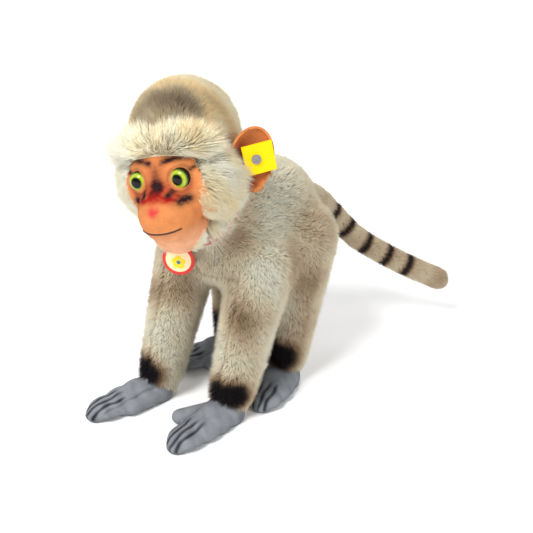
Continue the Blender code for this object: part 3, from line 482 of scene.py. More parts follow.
# Each hair is darkened toward its root: painted shade deep in the pile.
takes = (("Tone colour", "colour"), ("Root shade", "colour"), ("Along hair", "value"))
pile_shading, takes, gives = new_group("pile_shading", takes, (("Colour", "colour"),))
MIDDLE_OF_HAIR = 0.45
above_root = spread(pile_shading, takes["Along hair"], 0, MIDDLE_OF_HAIR)
near_tip = spread(pile_shading, takes["Along hair"], MIDDLE_OF_HAIR, 1)
middle_shade = mixed(pile_shading, "MIX", above_root, takes["Root shade"], (0.92, 0.92, 0.92))
depth = mixed(pile_shading, "MIX", near_tip, middle_shade, (1.0, 1.0, 1.0))
pile_shading.links.new(mixed(pile_shading, "MULTIPLY", 1.0, takes["Tone colour"], depth), gives["Colour"])


def mohair(name, colours, root_shade):
    """Pile that is darker at its roots and brighter at its tips, with a silky sheen."""
    made, tree, shader = material(name)
    chart = tree.nodes.new("ShaderNodeUVMap")
    chart.uv_map = "OFBake"
    parts = tree.nodes.new("ShaderNodeSeparateXYZ")
    tree.links.new(chart.outputs["UV"], parts.inputs["Vector"])
    tone_colour = ramp(tree, colours, parts.outputs["Y"])
    values = {"Tone colour": tone_colour, "Root shade": root_shade, "Along hair": parts.outputs["X"]}
    tree.links.new(use_group(tree, pile_shading, values)["Colour"], shader.inputs["Base Color"])
    shader.inputs["Roughness"].default_value = 0.75
    shader.inputs["Specular IOR Level"].default_value = 0.12
    shader.inputs["Sheen Weight"].default_value = 0.02
    shader.inputs["Sheen Roughness"].default_value = 0.4
    return made


grey_mohair = mohair("grey_mohair", GREY_MOHAIR, (0.5, 0.48, 0.46))
BODY_HAIRS = 190000
hair_at, hair_out = roots_on(body_cloth, BODY_HAIRS, 11)
not_cut = (hair_at[:, 2] > 3 * MM) & ((hair_at - np.array(NECK_CENTRE)) @ np.array(NECK_AXIS) < -1.5 * MM)
hair_at, hair_out = hair_at[not_cut], hair_out[not_cut]
brushed = np.stack([hair_at[:, 0] * 0, np.full(len(hair_at), 0.35), np.full(len(hair_at), -0.9)], axis=1)
on_back = np.clip((hair_at[:, 2] - 95 * MM) / (30 * MM), 0, 1)[:, None]
brushed = brushed * (1 - on_back) + np.array([0, 1.0, -0.35]) * on_back
brushed = brushed + 0.35 * wander(hair_at, 22 * MM, 5)
hair_tone = body_tone(hair_at)
short = np.clip((hair_at[:, 2] - 2 * MM) / (16 * MM), 0.35, 1)
# The pile is caught down along the seams: round the gusset, and down the back and the chest.
gusset_edge, gusset_top = FRONT_SPACING / 2, BELLY + TRUNK_DEPTH / 4
below_top = hair_at[:, 2] < gusset_top
beside_seam = np.where(below_top, np.abs(np.abs(hair_at[:, 0]) - gusset_edge), np.abs(hair_at[:, 0]))
level_seam = np.where(np.abs(hair_at[:, 0]) < gusset_edge, np.abs(hair_at[:, 2] - gusset_top), 1)
seam = np.exp(-((np.minimum(beside_seam, level_seam) / (1.1 * MM)) ** 2))
short = short * (1 - 0.5 * seam)
hair_tone = np.clip(hair_tone + 0.13 * seam, 0.02, 0.97)
LEGS_TOP, BETWEEN_LEGS = 88 * MM, 28 * MM
on_left, is_leg, is_hind = hair_at[:, 0] > 0, hair_at[:, 2] <= LEGS_TOP, hair_at[:, 1] > BETWEEN_LEGS
panels = (
    ("left_side", on_left & ~is_leg),
    ("right_side", ~on_left & ~is_leg),
    ("left_front_leg", on_left & is_leg & ~is_hind),
    ("right_front_leg", ~on_left & is_leg & ~is_hind),
    ("left_hind_leg", on_left & is_leg & is_hind),
    ("right_hind_leg", ~on_left & is_leg & is_hind),
)
for number, (panel, here) in enumerate(panels):
    hairs = pile(
        f"body_pile_{panel}", hair_at[here], hair_out[here], brushed[here],
        5.4 * MM * short[here], 0.6, 0.1, hair_tone[here], 20 + number,
    )
    hairs.data.transform(AT_LEFT_HAND)
    finish(hairs, grey_mohair, "trunk", "mohair_plush")
body_cloth.data.transform(AT_LEFT_HAND)
finish(
    body_cloth, grey_backing, "trunk", "mohair_plush", "belly_gusset", "body_side_left", "body_side_right",
    "trunk_stuffing", "front_leg_stuffing_left", "front_leg_stuffing_right",
    "hind_leg_stuffing_left", "hind_leg_stuffing_right",
)

# ---------------------------------------------------------------- hands and feet
# Each is a grey felt mitten with a thumb, sewn to a flat felt sole and lightly stuffed. The fingers
# are only lines: dark strokes painted from the tips back, each pressed a little into the felt.

PAW_RADIUS, PAW_MIDDLE, SOLE = 13 * MM, 5.5 * MM, 1.4 * MM


felt_fuzz, takes, gives = new_group("felt_fuzz", (("Tone colour", "colour"), ("Fuzz", "value")), colour_and_normal)
blotch = noise(felt_fuzz, object_place(felt_fuzz), 160, 4).outputs["Fac"]
fibre_noise = noise(felt_fuzz, object_place(felt_fuzz), 1500, 5)
fibre_noise.inputs["Distortion"].default_value = 1.2
fibre = fibre_noise.outputs["Fac"]
uneven = ramp(felt_fuzz, ((0.3, (0.82, 0.82, 0.84)), (0.7, (1, 1, 1))), blotch)
hairy = ramp(felt_fuzz, ((0.3, (0.72, 0.72, 0.72)), (0.7, (1, 1, 1))), fibre)
blotched = mixed(felt_fuzz, "MULTIPLY", 1.0, takes["Tone colour"], uneven)
felt_fuzz.links.new(mixed(felt_fuzz, "MULTIPLY", 0.7, blotched, hairy), gives["Colour"])
felt_fuzz.links.new(bumped(felt_fuzz, fibre, takes["Fuzz"]), gives["Normal"])


def felt(name, stops):
    """Pressed wool felt, blotchy and hairy, coloured by the piece's own tone."""
    made, tree, shader = material(name)
    tone_colour = ramp(tree, stops, attribute(tree, "tone"))
    surfaced(tree, use_group(tree, felt_fuzz, {"Tone colour": tone_colour, "Fuzz": 0.18 * MM}), shader)
    shader.inputs["Roughness"].default_value = 0.95
    shader.inputs["Specular IOR Level"].default_value = 0.2
    return made


grey_felt = felt(
    "grey_felt", ((0, (0.25, 0.265, 0.285)), (0.5, (0.09, 0.095, 0.11)), (1, (0.004, 0.005, 0.01)))
)


def paw(name, word, side, ankle, length, splay, thumb_reach):
    turn = Matrix.Rotation(math.radians(side * splay), 4, "Z")
    pointing, inwards = turn @ -BACK, turn @ (-side * LEFT)
    bm = bmesh.new()
    base = Vector((ankle.x, ankle.y, PAW_MIDDLE))
    for reach, width, thick in ((0.1, 0.95, 2.1), (0.3, 0.98, 1.75), (0.5, 1.0, 1.3), (0.72, 0.86, 1.0)):
        radii = (PAW_RADIUS * width, length * 0.24, PAW_MIDDLE * thick)
        ball(bm, base + pointing * length * reach, radii, turn)
    tip = PAW_RADIUS * 0.55
    ball(bm, base + pointing * (length - tip) - UP * PAW_MIDDLE * 0.3, (tip, tip, PAW_MIDDLE * 0.75), turn)
    thumb = base + pointing * length * 0.2 + inwards * PAW_RADIUS * 0.6
    thumb_tip = base + pointing * length * 0.52 + inwards * (thumb_reach - PAW_MIDDLE)
    limb(bm, [(thumb, PAW_MIDDLE), (thumb_tip, PAW_MIDDLE * 0.9)])
    upper = stuffed(f"{name}_felt_{word}", bm, 1.1 * MM, 5)
    sole = upper.copy()
    sole.data = upper.data.copy()
    sole.name = f"{name}_sole_felt_{word}"
    bpy.context.scene.collection.objects.link(sole)
    reshape(upper, cuts=((Vector((0, 0, SOLE)), -UP),))
    reshape(sole, cuts=((Vector((0, 0, SOLE - 0.1 * MM)), UP), (Vector((0, 0, 0)), -UP)), grow=0.2 * MM)
    where = points_of(upper)
    along = (where - np.array(base)) @ np.array(pointing) / length
    across = (where - np.array(base)) @ np.array(inwards) / PAW_RADIUS
    stroke = np.zeros(len(where))
    for finger in (-0.42, 0.0, 0.42):
        line = finger * (1.12 - 0.35 * along) + 0.03 * np.sin(along * 19 + finger * 7)
        reach = np.clip((along - 0.5) / 0.12, 0, 1) * np.clip((1.02 - along) / 0.05, 0, 1)
        stroke = np.maximum(stroke, np.exp(-(((across - line) * PAW_RADIUS / (1.0 * MM)) ** 2)) * reach)
    fold = np.exp(-((((across - 0.62) * PAW_RADIUS) / (0.8 * MM)) ** 2))
    fold_reach = np.clip((0.62 - np.abs(along - 0.3)) / 0.1, 0, 1)
    stroke = np.maximum(stroke, 0.35 * fold * fold_reach)
    on_top = where[:, 2] > 2.5 * MM
    dark = stroke * on_top * 0.95 + 0.12 * np.clip((0.16 - along) / 0.1, 0, 1)
    dark += 0.06 * wander(where, 9 * MM, 8)[:, 0]
    tint(upper, "tone", np.clip(dark, 0, 1))
    tint(sole, "tone", np.full(len(sole.data.vertices), 0.12))
    normals = np.empty(len(where) * 3)
    upper.data.vertices.foreach_get("normal", normals)
    where = where - normals.reshape(-1, 3) * (stroke * on_top * 0.5 * MM)[:, None]
    upper.data.vertices.foreach_set("co", where.reshape(-1))
    for piece in (upper, sole):
        piece.data.transform(AT_LEFT_HAND)
    finish(upper, grey_felt, "trunk", "grey_felt", f"{name}_upper_{word}", f"{name}_stuffing_{word}")
    finish(sole, grey_felt, "trunk", "grey_felt", f"{name}_sole_{word}")


for side, word, hand_y, hand_splay, thumb_reach in ((1, "left", 0, 2, 23), (-1, "right", -STRIDE, 10, 15)):
    wrist = Vector((side * FRONT_SPACING / 2, hand_y, 0))
    paw("hand", word, side, wrist, 57 * MM, hand_splay, thumb_reach * MM)
    ankle = Vector((side * HIND_SPACING / 2, HIND_ANKLE_Y, 0))
    paw("foot", word, side, ankle, 46 * MM, 18, 16 * MM)

# ---------------------------------------------------------------- tail
# A narrow plush tube sewn into the rump, stuffed round a soft iron wire and bent to the monkey's left.
# It turns at the rump and at its middle. Dark rings are painted across its upper side.

TAIL_RADIUS = 7.2 * MM
TAIL_ROOT = Vector((0, 91 * MM, 119 * MM))
TAIL_STEPS = (
    (0, 13, -5), (1, 13, -11), (4, 12, -14), (9, 11, -15), (14, 14, -13), (15, 14, -11), (15, 15, -10),
)
TAIL_RINGS = (0.28, 0.41, 0.55, 0.68, 0.80)  # share of the tail's length


def smooth_line(points, between):
    ends = [points[0] * 2 - points[1], *points, points[-1] * 2 - points[-2]]
    line = []
    for a, b, c, d in zip(ends, ends[1:], ends[2:], ends[3:]):
        for step in range(between):
            t = step / between
            bend, twist = 2 * a - 5 * b + 4 * c - d, 3 * b - a - 3 * c + d
            line.append(0.5 * ((2 * b) + (c - a) * t + bend * t**2 + twist * t**3))
    return [*line, points[-1]]


tail_points = [TAIL_ROOT]
for step in TAIL_STEPS:
    tail_points.append(tail_points[-1] + Vector(step) * MM)
tail_line = smooth_line(tail_points, 4)
tail_bend = len(tail_points) // 2 * 4
tail_run = np.cumsum([0] + [(b - a).length for a, b in zip(tail_line, tail_line[1:])])
tail_along = np.array([point[:] for point in tail_line])


def tail_share(points):
    """How far along the tail each point is, from 0 at the root to 1 at the tip."""
    nearest = np.argmin(((points[:, None] - tail_along[None]) ** 2).sum(axis=2), axis=1)
    following = np.minimum(nearest + 1, len(tail_along) - 1)
    way = tail_along[following] - tail_along[np.maximum(following - 1, 0)]
    past = ((points - tail_along[nearest]) * unit(way)).sum(axis=1)
    return (tail_run[nearest] + past) / tail_run[-1]


def tail_tone(points):
    share = tail_share(points)
    tone = 0.3 + 0.04 * wander(points, 14 * MM, 6)[:, 0]
    for ring in TAIL_RINGS:
        tone = tone + 0.62 * np.exp(-(((share - ring) * tail_run[-1] / (2.9 * MM)) ** 2))
    return np.clip(tone + 0.12 * np.clip((share - 0.92) / 0.08, 0, 1), 0.02, 0.95)


TAIL_HAIRS = 20000  # on each half
for word, part in (("base", tail_line[: tail_bend + 1]), ("tip", tail_line[tail_bend:])):
    body = f"tail_{word}"
    wads = bmesh.new()
    limb(wads, [(point, TAIL_RADIUS - 1.7 * MM) for point in part])
    cloth = stuffed(f"tail_cloth_{word}", wads, 1.3 * MM, 3)
    tint(cloth, "tone", tail_tone(points_of(cloth)))
    at, out = roots_on(cloth, TAIL_HAIRS, 31)
    nearest = np.argmin(((at[:, None] - tail_along[None]) ** 2).sum(axis=2), axis=1)
    following = np.minimum(nearest + 1, len(tail_along) - 1)
    flow = tail_along[following] - tail_along[following - 1]
    hairs = pile(f"tail_pile_{word}", at, out, flow, 4.0 * MM, 0.75, 0.05, tail_tone(at), 33, width=0.22 * MM)
    for piece in (cloth, hairs):
        piece.data.transform(AT_LEFT_HAND)
    finish(hairs, grey_mohair, body, "mohair_plush")
    inside = (f"tail_stuffing_{word}", f"tail_wire_{word}")
    finish(cloth, grey_backing, body, "mohair_plush", f"tail_skin_{word}", *inside)

# ---------------------------------------------------------------- neck joint
# A hardboard disc closes each neck opening, and a steel cotter pin with washers clamps the two, so that
# the head turns. They are the CAD's own pieces, almost hidden by the pile.


takes = (("Dark", "colour"), ("Light", "colour"), ("Scale", "value"), ("Stretch", "vector"))
fine_grain, takes, gives = new_group("fine_grain", takes, colour_and_normal)
lay = fine_grain.nodes.new("ShaderNodeMapping")
fine_grain.links.new(object_place(fine_grain), lay.inputs["Vector"])
fine_grain.links.new(takes["Stretch"], lay.inputs["Scale"])
grains = noise(fine_grain, lay.outputs["Vector"], takes["Scale"], 4).outputs["Fac"]
grain_share = spread(fine_grain, grains, 0.3, 0.7)
fine_grain.links.new(mixed(fine_grain, "MIX", grain_share, takes["Dark"], takes["Light"]), gives["Colour"])
fine_grain.links.new(bumped(fine_grain, grains, 0.05 * MM), gives["Normal"])


def plain(name, colour, grain, roughness, metallic=0.0, scale=300.0, stretch=(1, 1, 1)):
    """A material with one colour, varied by a fine grain."""
    made, tree, shader = material(name)
    dark = tuple(c * (1 - grain) for c in colour)
    light = tuple(min(1, c * (1 + grain)) for c in colour)
    values = {"Dark": dark, "Light": light, "Scale": scale, "Stretch": stretch}
    surfaced(tree, use_group(tree, fine_grain, values), shader)
    shader.inputs["Roughness"].default_value = roughness
    shader.inputs["Metallic"].default_value = metallic
    shader.inputs["Specular IOR Level"].default_value = 0.2
    return made


def repaint(made, *names):
    for name in names:
        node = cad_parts[name]
        node.data.materials.clear()
        node.data.materials.append(made)


hardboard = plain("hardboard", (0.33, 0.22, 0.14), 0.25, 0.8)
bright_steel = plain("bright_steel", (0.42, 0.42, 0.43), 0.12, 0.25, 1.0, 900)
repaint(hardboard, "neck_disc_body", "neck_disc_head")
repaint(bright_steel, "neck_washer_body", "neck_washer_head", "neck_cotter_pin")
repaint(bright_steel, "eye_shank_left", "eye_shank_right")

# ---------------------------------------------------------------- head and felt face
# The head is a firm ball of wood wool with a muzzle, turned to its left on the neck. Orange felt covers
# the face. Red and black are airbrushed round the eyes and over the bridge of the nose.

HEAD_CENTRE = NECK_CENTRE + NECK_AXIS * 38 * MM + (NECK_LEAN @ BACK) * 7 * MM
HEAD_HEIGHT, HEAD_DEPTH, CHEEK_WIDTH, CROWN_WIDTH = (v * MM for v in (97, 70, 87, 66))
MUZZLE_REACH, MUZZLE_RADIUS, MUZZLE_DROP, FACE_WIDTH = (v * MM for v in (31, 15, 25, 42))
EYE_RADIUS, EYE_SPACING, EYE_REACH, EYE_DROP = (v * MM for v in (6, 27, 18, 5))
HEAD_TURN = math.radians(23)  # the head looks to its left
TURN_HEAD = (
    AT_LEFT_HAND
    @ Matrix.Translation(NECK_CENTRE)
    @ Quaternion(NECK_AXIS, HEAD_TURN).to_matrix().to_4x4()
    @ Matrix.Translation(-NECK_CENTRE)
)


def head_point(across, forward, up):
    return HEAD_CENTRE + Vector((across, -forward, up))


def in_head(points):
    """Points in millimetres in the head's own frame: across, forward and up from its middle."""
    return (points - np.array(HEAD_CENTRE)) * np.array([1, -1, 1]) / MM


head_wads = bmesh.new()
crown = (CROWN_WIDTH / 2 - 5 * MM, HEAD_DEPTH / 2 - 5 * MM, HEAD_HEIGHT * 0.36 - 5 * MM)
ball(head_wads, head_point(0, -19 * MM, HEAD_HEIGHT * 0.11), crown)
jaw = (CHEEK_WIDTH / 2 - 9 * MM, HEAD_DEPTH / 2 - 9 * MM, HEAD_HEIGHT * 0.33 - 9 * MM)
ball(head_wads, head_point(0, -6 * MM, -HEAD_HEIGHT * 0.12), jaw)
ball(head_wads, head_point(0, MUZZLE_REACH - MUZZLE_RADIUS, -MUZZLE_DROP), (MUZZLE_RADIUS,) * 3)
chin = MUZZLE_RADIUS * 0.9
ball(head_wads, head_point(0, MUZZLE_REACH - MUZZLE_RADIUS - 6 * MM, chin - HEAD_HEIGHT / 2), (chin,) * 3)
ball(head_wads, head_point(0, 4 * MM, -EYE_DROP), (FACE_WIDTH / 2, 15 * MM, 17 * MM))
limb(head_wads, [(NECK_CENTRE, 19.5 * MM), (NECK_CENTRE.lerp(HEAD_CENTRE, 0.6), 19.5 * MM)])
under_mane = head_wads.copy()
face = stuffed("face_felt_skin", head_wads, 1.6 * MM, 8)
ball(under_mane, head_point(0, -1 * MM, HEAD_HEIGHT * 0.12), (30 * MM, 19 * MM, 12 * MM))
ball(under_mane, head_point(0, -7 * MM, -HEAD_HEIGHT * 0.12), (34 * MM, 24 * MM, 25 * MM))
head_cloth = stuffed("head_cloth", under_mane, 1.6 * MM, 8)
above_neck = (NECK_CENTRE + NECK_AXIS * 0.8 * MM, -NECK_AXIS)
reshape(head_cloth, cuts=(above_neck,), grow=0.5 * MM)

bm = bmesh.new()
bm.from_mesh(face.data)
bm.normal_update()
shifts = [(vert, vert.normal * 3.0 * MM) for vert in bm.verts]
for vert, shift in shifts:
    vert.co += shift
outside = []
for part in bm.faces:
    x, forward, up = in_head(np.array([part.calc_center_median()[:]]))[0]
    egg = (x / 27) ** 2 + ((up + 19) / 34) ** 2
    if egg > 1 or forward < 0:
        outside.append(part)
bmesh.ops.delete(bm, geom=outside, context="FACES")
bmesh.ops.subdivide_edges(bm, edges=bm.edges[:], cuts=1, use_grid_fill=True, smooth=0.6)
bm.to_mesh(face.data)
bm.free()
face.data.shade_smooth()
where = points_of(face)
own = in_head(where)
x, up = np.abs(own[:, 0]), own[:, 2]
eye_x, eye_up = EYE_SPACING / 2 / MM, -EYE_DROP / MM
from_eye = np.hypot(x - eye_x, (up - eye_up) * 0.95)
under_eye = np.clip((2 - (up - eye_up)) / 8, 0.1, 1)
red = 0.5 * np.exp(-(((from_eye - 7.4) / 1.8) ** 2)) * under_eye
red += 1.3 * np.exp(-((x / 5.2) ** 2) - ((up + 10.5) / 4.2) ** 2)
red += 1.0 * np.exp(-(((x - 8.5) / 5.0) ** 2) - ((up + 14.4 + 0.18 * (x - 8)) / 1.7) ** 2)
red += 0.3 * np.exp(-((x / 8) ** 2) - ((up + 2) / 8) ** 2)
nose = np.exp(-(((own[:, 0] + 0.6) / 2.9) ** 2) - ((up + 19.6) / 2.5) ** 2)
nose += 0.6 * np.exp(-(((own[:, 0] - 2.8) / 1.2) ** 2) - ((up + 18.6) / 1.3) ** 2)
black = 0.35 * np.exp(-(((from_eye - 6.5) / 0.8) ** 2))
black += 0.95 * np.exp(-(((x - 1.6) / 3.2) ** 2) - ((up + 8.0) / 3.6) ** 2)
black += 1.15 * np.exp(-(((x - 15.5) / 3.8) ** 2) - ((up + 16.2) / 2.7) ** 2)
black += 1.1 * np.exp(-(((x - 8.2) / 1.9) ** 2) - ((up + 12.0) / 1.8) ** 2)
brow_line = 4.2 + 0.14 * x
brow_ends = np.clip((x - 1.5) / 2.5, 0, 1) * np.clip((22 - x) / 3, 0, 1)
black += 0.85 * np.exp(-(((up - brow_line) / 1.8) ** 2)) * brow_ends
black += 0.42 * np.exp(-((x / 3.4) ** 2) - ((up + 1) / 6.5) ** 2)
black += 0.8 * np.exp(-(((x - 20.5) / 2.2) ** 2) - ((up + 0.5) / 1.6) ** 2)
speckle = 0.5 + 0.35 * wander(where, 2.1 * MM, 9)[:, 0] + 0.25 * wander(where, 5 * MM, 10)[:, 1]
tint(face, "red", np.clip(red * (0.8 + 0.45 * speckle), 0, 1))
tint(face, "black", np.clip(black * (0.75 + 0.8 * speckle), 0, 1))
tint(face, "nose", np.clip(nose * (0.7 + 0.9 * speckle), 0, 1))
tint(face, "tone", np.clip((-up - 30) / 14, 0, 1))
backing = face.modifiers.new("felt", "SOLIDIFY")
backing.thickness = 1.2 * MM
backing.offset = -1
settle(face)

face_felt = felt("face_felt", ((0, (0.66, 0.235, 0.075)), (1, (0.84, 0.42, 0.24))))
tree = face_felt.node_tree
shader = tree.nodes["Principled BSDF"]
plain_felt = shader.inputs["Base Color"].links[0].from_socket
reddened = mixed(tree, "MIX", attribute(tree, "red"), plain_felt, (0.33, 0.006, 0.003))
nosed = mixed(tree, "MIX", attribute(tree, "nose"), reddened, (0.50, 0.035, 0.04))
painted = mixed(tree, "MIX", attribute(tree, "black"), nosed, (0.018, 0.005, 0.006))
tree.links.new(painted, shader.inputs["Base Color"])
face_tree = BVHTree.FromObject(face, bpy.context.evaluated_depsgraph_get())

# ---------------------------------------------------------------- mouth
# One line of dark thread, stitched across the muzzle in a faint smile and pulled into the felt.

mouth_points = []
for share in np.linspace(-1, 1, 25):
    height = -32.4 + 1.3 * abs(share) ** 2.6
    ray_from = head_point(share * 12.5 * MM, 60 * MM, height * MM)
    hit, normal, _, _ = face_tree.ray_cast(ray_from, BACK)
    if hit:
        mouth_points.append(hit + normal * 0.05 * MM)
thread = bpy.data.curves.new("mouth_thread", "CURVE")
thread.dimensions = "3D"
thread.bevel_depth = 0.5 * MM
thread.bevel_resolution = 3
thread.use_fill_caps = True
run = thread.splines.new("POLY")
run.points.add(len(mouth_points) - 1)
for spot, place in zip(run.points, mouth_points):
    spot.co = (*place, 1)
mouth_curve = bpy.data.objects.new("mouth_curve", thread)
bpy.context.scene.collection.objects.link(mouth_curve)
laid = mouth_curve.evaluated_get(bpy.context.evaluated_depsgraph_get())
mouth = bpy.data.objects.new("mouth_thread", bpy.data.meshes.new_from_object(laid))
bpy.data.objects.remove(mouth_curve)
bpy.context.scene.collection.objects.link(mouth)
mouth.data.transform(TURN_HEAD)
dark_thread = plain("dark_thread", (0.05, 0.022, 0.02), 0.5, 0.7, 0.0, 2500)
finish(mouth, dark_thread, "head", "dark_thread", "mouth_stitch")
repaint(dark_thread, "tag_thread")
face.data.transform(TURN_HEAD)
finish(face, face_felt, "head", "orange_felt", "face_felt", "chin_felt")

# ---------------------------------------------------------------- glass eyes
# Blown glass eyes on wire shanks: a black pupil in a yellow-green iris, painted on the back of the
# glass, which darkens to its rim.

glass_eye, tree, shader = material("glass_eye")
iris = ramp(
    tree,
    (
        (0.0, (0.001, 0.001, 0.003)), (0.48, (0.001, 0.001, 0.003)), (0.53, (0.12, 0.16, 0.004)),
        (0.62, (0.30, 0.42, 0.015)), (0.76, (0.40, 0.50, 0.05)), (0.87, (0.16, 0.22, 0.01)),
        (0.94, (0.015, 0.02, 0.005)), (1.0, (0.004, 0.004, 0.004)),
    ),
    attribute(tree, "from_axis"),
)
flecks = noise(tree, object_place(tree), 500, 2).outputs["Fac"]
streaks = ramp(tree, ((0.3, (0.85, 0.85, 0.8)), (0.7, (1, 1, 1))), flecks)
tree.links.new(mixed(tree, "MULTIPLY", 1.0, iris, streaks), shader.inputs["Base Color"])
shader.inputs["Roughness"].default_value = 0.12
shader.inputs["Specular IOR Level"].default_value = 0.12
shader.inputs["Coat Weight"].default_value = 0.25
shader.inputs["Coat Roughness"].default_value = 0.02
for side, word in ((1, "left"), (-1, "right")):
    bm = bmesh.new()
    stand = Matrix.Rotation(math.radians(90), 4, "X")
    centre = head_point(side * EYE_SPACING / 2, EYE_REACH, -EYE_DROP)
    ball(bm, centre, (EYE_RADIUS, EYE_RADIUS, EYE_RADIUS * 0.75), stand, around=96)
    eye = object_from(f"glass_eye_{word}", bm)
    offset = points_of(eye) - np.array(centre)
    gaze = np.array([side * -0.03, 0, 0.0]) * EYE_RADIUS
    radial = np.hypot(offset[:, 0] - gaze[0], offset[:, 2] - gaze[2]) / EYE_RADIUS
    tint(eye, "from_axis", np.where(offset[:, 1] < 0.5 * MM, np.clip(radial, 0, 1), 1))
    eye.data.transform(TURN_HEAD)
    finish(eye, glass_eye, "head", "eye_glass", f"eye_{word}")

# ---------------------------------------------------------------- long mane round the face
# Long cream mohair frames the face: swept up and out over the brow, and down over the cheeks. The
# crown behind it is short grey-brown pile, brushed backwards.


def mane_share(own):
    """1 in front of the seam over the head, 0 behind it."""
    ahead = own[:, 1] + 2 - math.tan(math.radians(32)) * own[:, 2]
    return ahead > 0


def head_tone(points):
    own = in_head(points)
    drift = 0.07 * wander(points, 16 * MM, 12)[:, 0] + 0.05 * wander(points, 5 * MM, 13)[:, 1]
    mane = 0.11 + spots(
        own * MM,
        [
            ((24, 18, 16), (9, 12, 9), 0.2),
            ((30, 10, -22), (12, 16, 12), 0.12),
            ((0, 24, 12), (12, 9, 5), 0.1),
        ],
    )
    top = 0.25 + spots(own * MM, [((7, 5, 32), (31, 17, 15), 0.58), ((0, -44, 10), (26, 14, 26), 0.25)])
    return np.clip(np.where(mane_share(own), mane, top) + drift, 0.02, 0.95)


tint(head_cloth, "tone", head_tone(points_of(head_cloth)))
cream_backing = woven_backing("cream_backing", CREAM_MOHAIR)
cream_mohair = mohair("cream_mohair", CREAM_MOHAIR, (0.6, 0.57, 0.52))
HEAD_HAIRS = 120000
at, out = roots_on(head_cloth, HEAD_HAIRS, 41)
own = in_head(at)
half_face = np.interp(own[:, 2], (-48, -38, -27, -10, 0, 6.5, 9), (5, 13, 16.5, 20, 21, 17, 0))
beside = np.abs(own[:, 0]) - half_face
bare_face = (beside < 0) & (own[:, 2] < 9) & (own[:, 1] > 0)
over_neck = (at - np.array(NECK_CENTRE)) @ np.array(NECK_AXIS) < 1.2 * MM
kept = ~bare_face & ~over_neck
at, out, own, beside = at[kept], out[kept], own[kept], beside[kept]
tone = head_tone(at)
front = mane_share(own)
away = np.stack([own[:, 0] * 1.0, np.full(len(own), 14.0), (own[:, 2] + 14) * 0.9], axis=1)
cheek = np.clip((6 - own[:, 2]) / 16, 0, 1)[:, None]
mane_flow = unit(away) * (1 - cheek) + unit(away * np.array([1, 1, 0.2]) + np.array([0, 6, -26])) * cheek
mane_flow = mane_flow + 0.3 * wander(at, 12 * MM, 14)
crown_flow = np.stack([own[:, 0] * 0.01, np.full(len(own), 1.0), np.clip(own[:, 1] / 8, -0.25, 1.5)], axis=1)
crown_flow = crown_flow + 0.3 * wander(at, 16 * MM, 15)
edge = np.clip(beside / 8, 0, 1)
edge = np.where(own[:, 1] > 0, edge, 1)
puff = np.exp(-(((own[:, 2] - 10) / 13) ** 2)) * np.clip((np.abs(own[:, 0]) - 14) / 14, 0, 1)
far_tuft = 2.5 * puff * (own[:, 0] < 0)
long_hair = (5.5 + 4.5 * edge + 3.5 * puff + far_tuft) * MM
sparse = np.random.default_rng(43).random(len(at)) < 0.75
for number, (word, here) in enumerate((("left", own[:, 0] > 0), ("right", own[:, 0] <= 0))):
    chosen = here & front & sparse
    hairs = pile(
        f"mane_{word}", at[chosen], out[chosen], mane_flow[chosen], long_hair[chosen], 0.95, 0.28,
        tone[chosen], 44 + number, width=0.15 * MM, bent=True,
    )
    hairs.data.transform(TURN_HEAD)
    finish(hairs, cream_mohair, "head", "long_mohair")
for number, (word, here) in enumerate((("left", own[:, 0] > 0), ("right", own[:, 0] <= 0))):
    chosen = here & ~front
    hairs = pile(
        f"crown_pile_{word}", at[chosen], out[chosen], crown_flow[chosen], 6.0 * MM, 0.8, 0.1, tone[chosen],
        47 + number, width=0.19 * MM,
    )
    hairs.data.transform(TURN_HEAD)
    finish(hairs, cream_mohair, "head", "long_mohair")
head_cloth.data.transform(TURN_HEAD)
finish(head_cloth, cream_backing, "head", "long_mohair", "head_ruff", "head_crown", "head_stuffing")

# ---------------------------------------------------------------- ears
# Cupped orange felt ears, sewn into the seam behind the mane and swept back. Painted shade darkens
# the felt to a dark red deep inside the cup.

EAR_HEIGHT, EAR_REACH, EAR_DEPTH, EAR_ROOT, EAR_SET, EAR_DROP = (v * MM for v in (38, 24, 7, 32, -8, 7))
FELT = 1.4 * MM
EAR_SWEEP, EAR_TILT = math.radians(42), math.radians(22)
ear_felt = felt("ear_felt", ((0, (0.70, 0.235, 0.07)), (0.5, (0.40, 0.04, 0.015)), (1, (0.10, 0.004, 0.004))))
for side, word in ((1, "left"), (-1, "right")):
    root = head_point(side * EAR_ROOT, EAR_SET, -EAR_DROP)
    sweep = Quaternion(UP, side * EAR_SWEEP).to_matrix().to_4x4()
    ear_out, rearwards = sweep @ (LEFT * side), sweep @ BACK
    middle = root + ear_out * EAR_REACH / 2
    tilt = Matrix.Rotation(side * EAR_TILT, 4, rearwards)
    bm = bmesh.new()
    ball(bm, middle, (EAR_REACH / 2 + FELT, EAR_DEPTH, EAR_HEIGHT / 2), tilt @ sweep, around=64)
    whole = bm.verts[:] + bm.edges[:] + bm.faces[:]
    bmesh.ops.bisect_plane(bm, geom=whole, plane_co=middle, plane_no=-rearwards, clear_outer=True)
    ear = object_from(f"ear_felt_{word}", bm)
    own_out = (points_of(ear) - np.array(middle)) @ np.array(ear_out) / MM
    own_up = (points_of(ear) - np.array(middle))[:, 2] / MM
    deep = (points_of(ear) - np.array(middle)) @ np.array(rearwards) / MM
    # Painted shade: dark red in the lower cup, stronger the further into the cup.
    painted = np.exp(-(((own_out + 6) / 7) ** 2) - ((own_up + 6) / 12) ** 2)
    tint(ear, "tone", np.clip(1.3 * painted * deep / 5, 0, 1))
    wall = ear.modifiers.new("felt", "SOLIDIFY")
    wall.thickness = FELT
    wall.offset = -1
    soft = ear.modifiers.new("edge", "BEVEL")
    soft.width = 0.4 * MM
    soft.segments = 2
    settle(ear)
    ear.data.transform(TURN_HEAD)
    finish(ear, ear_felt, "head", "orange_felt", f"ear_{word}")

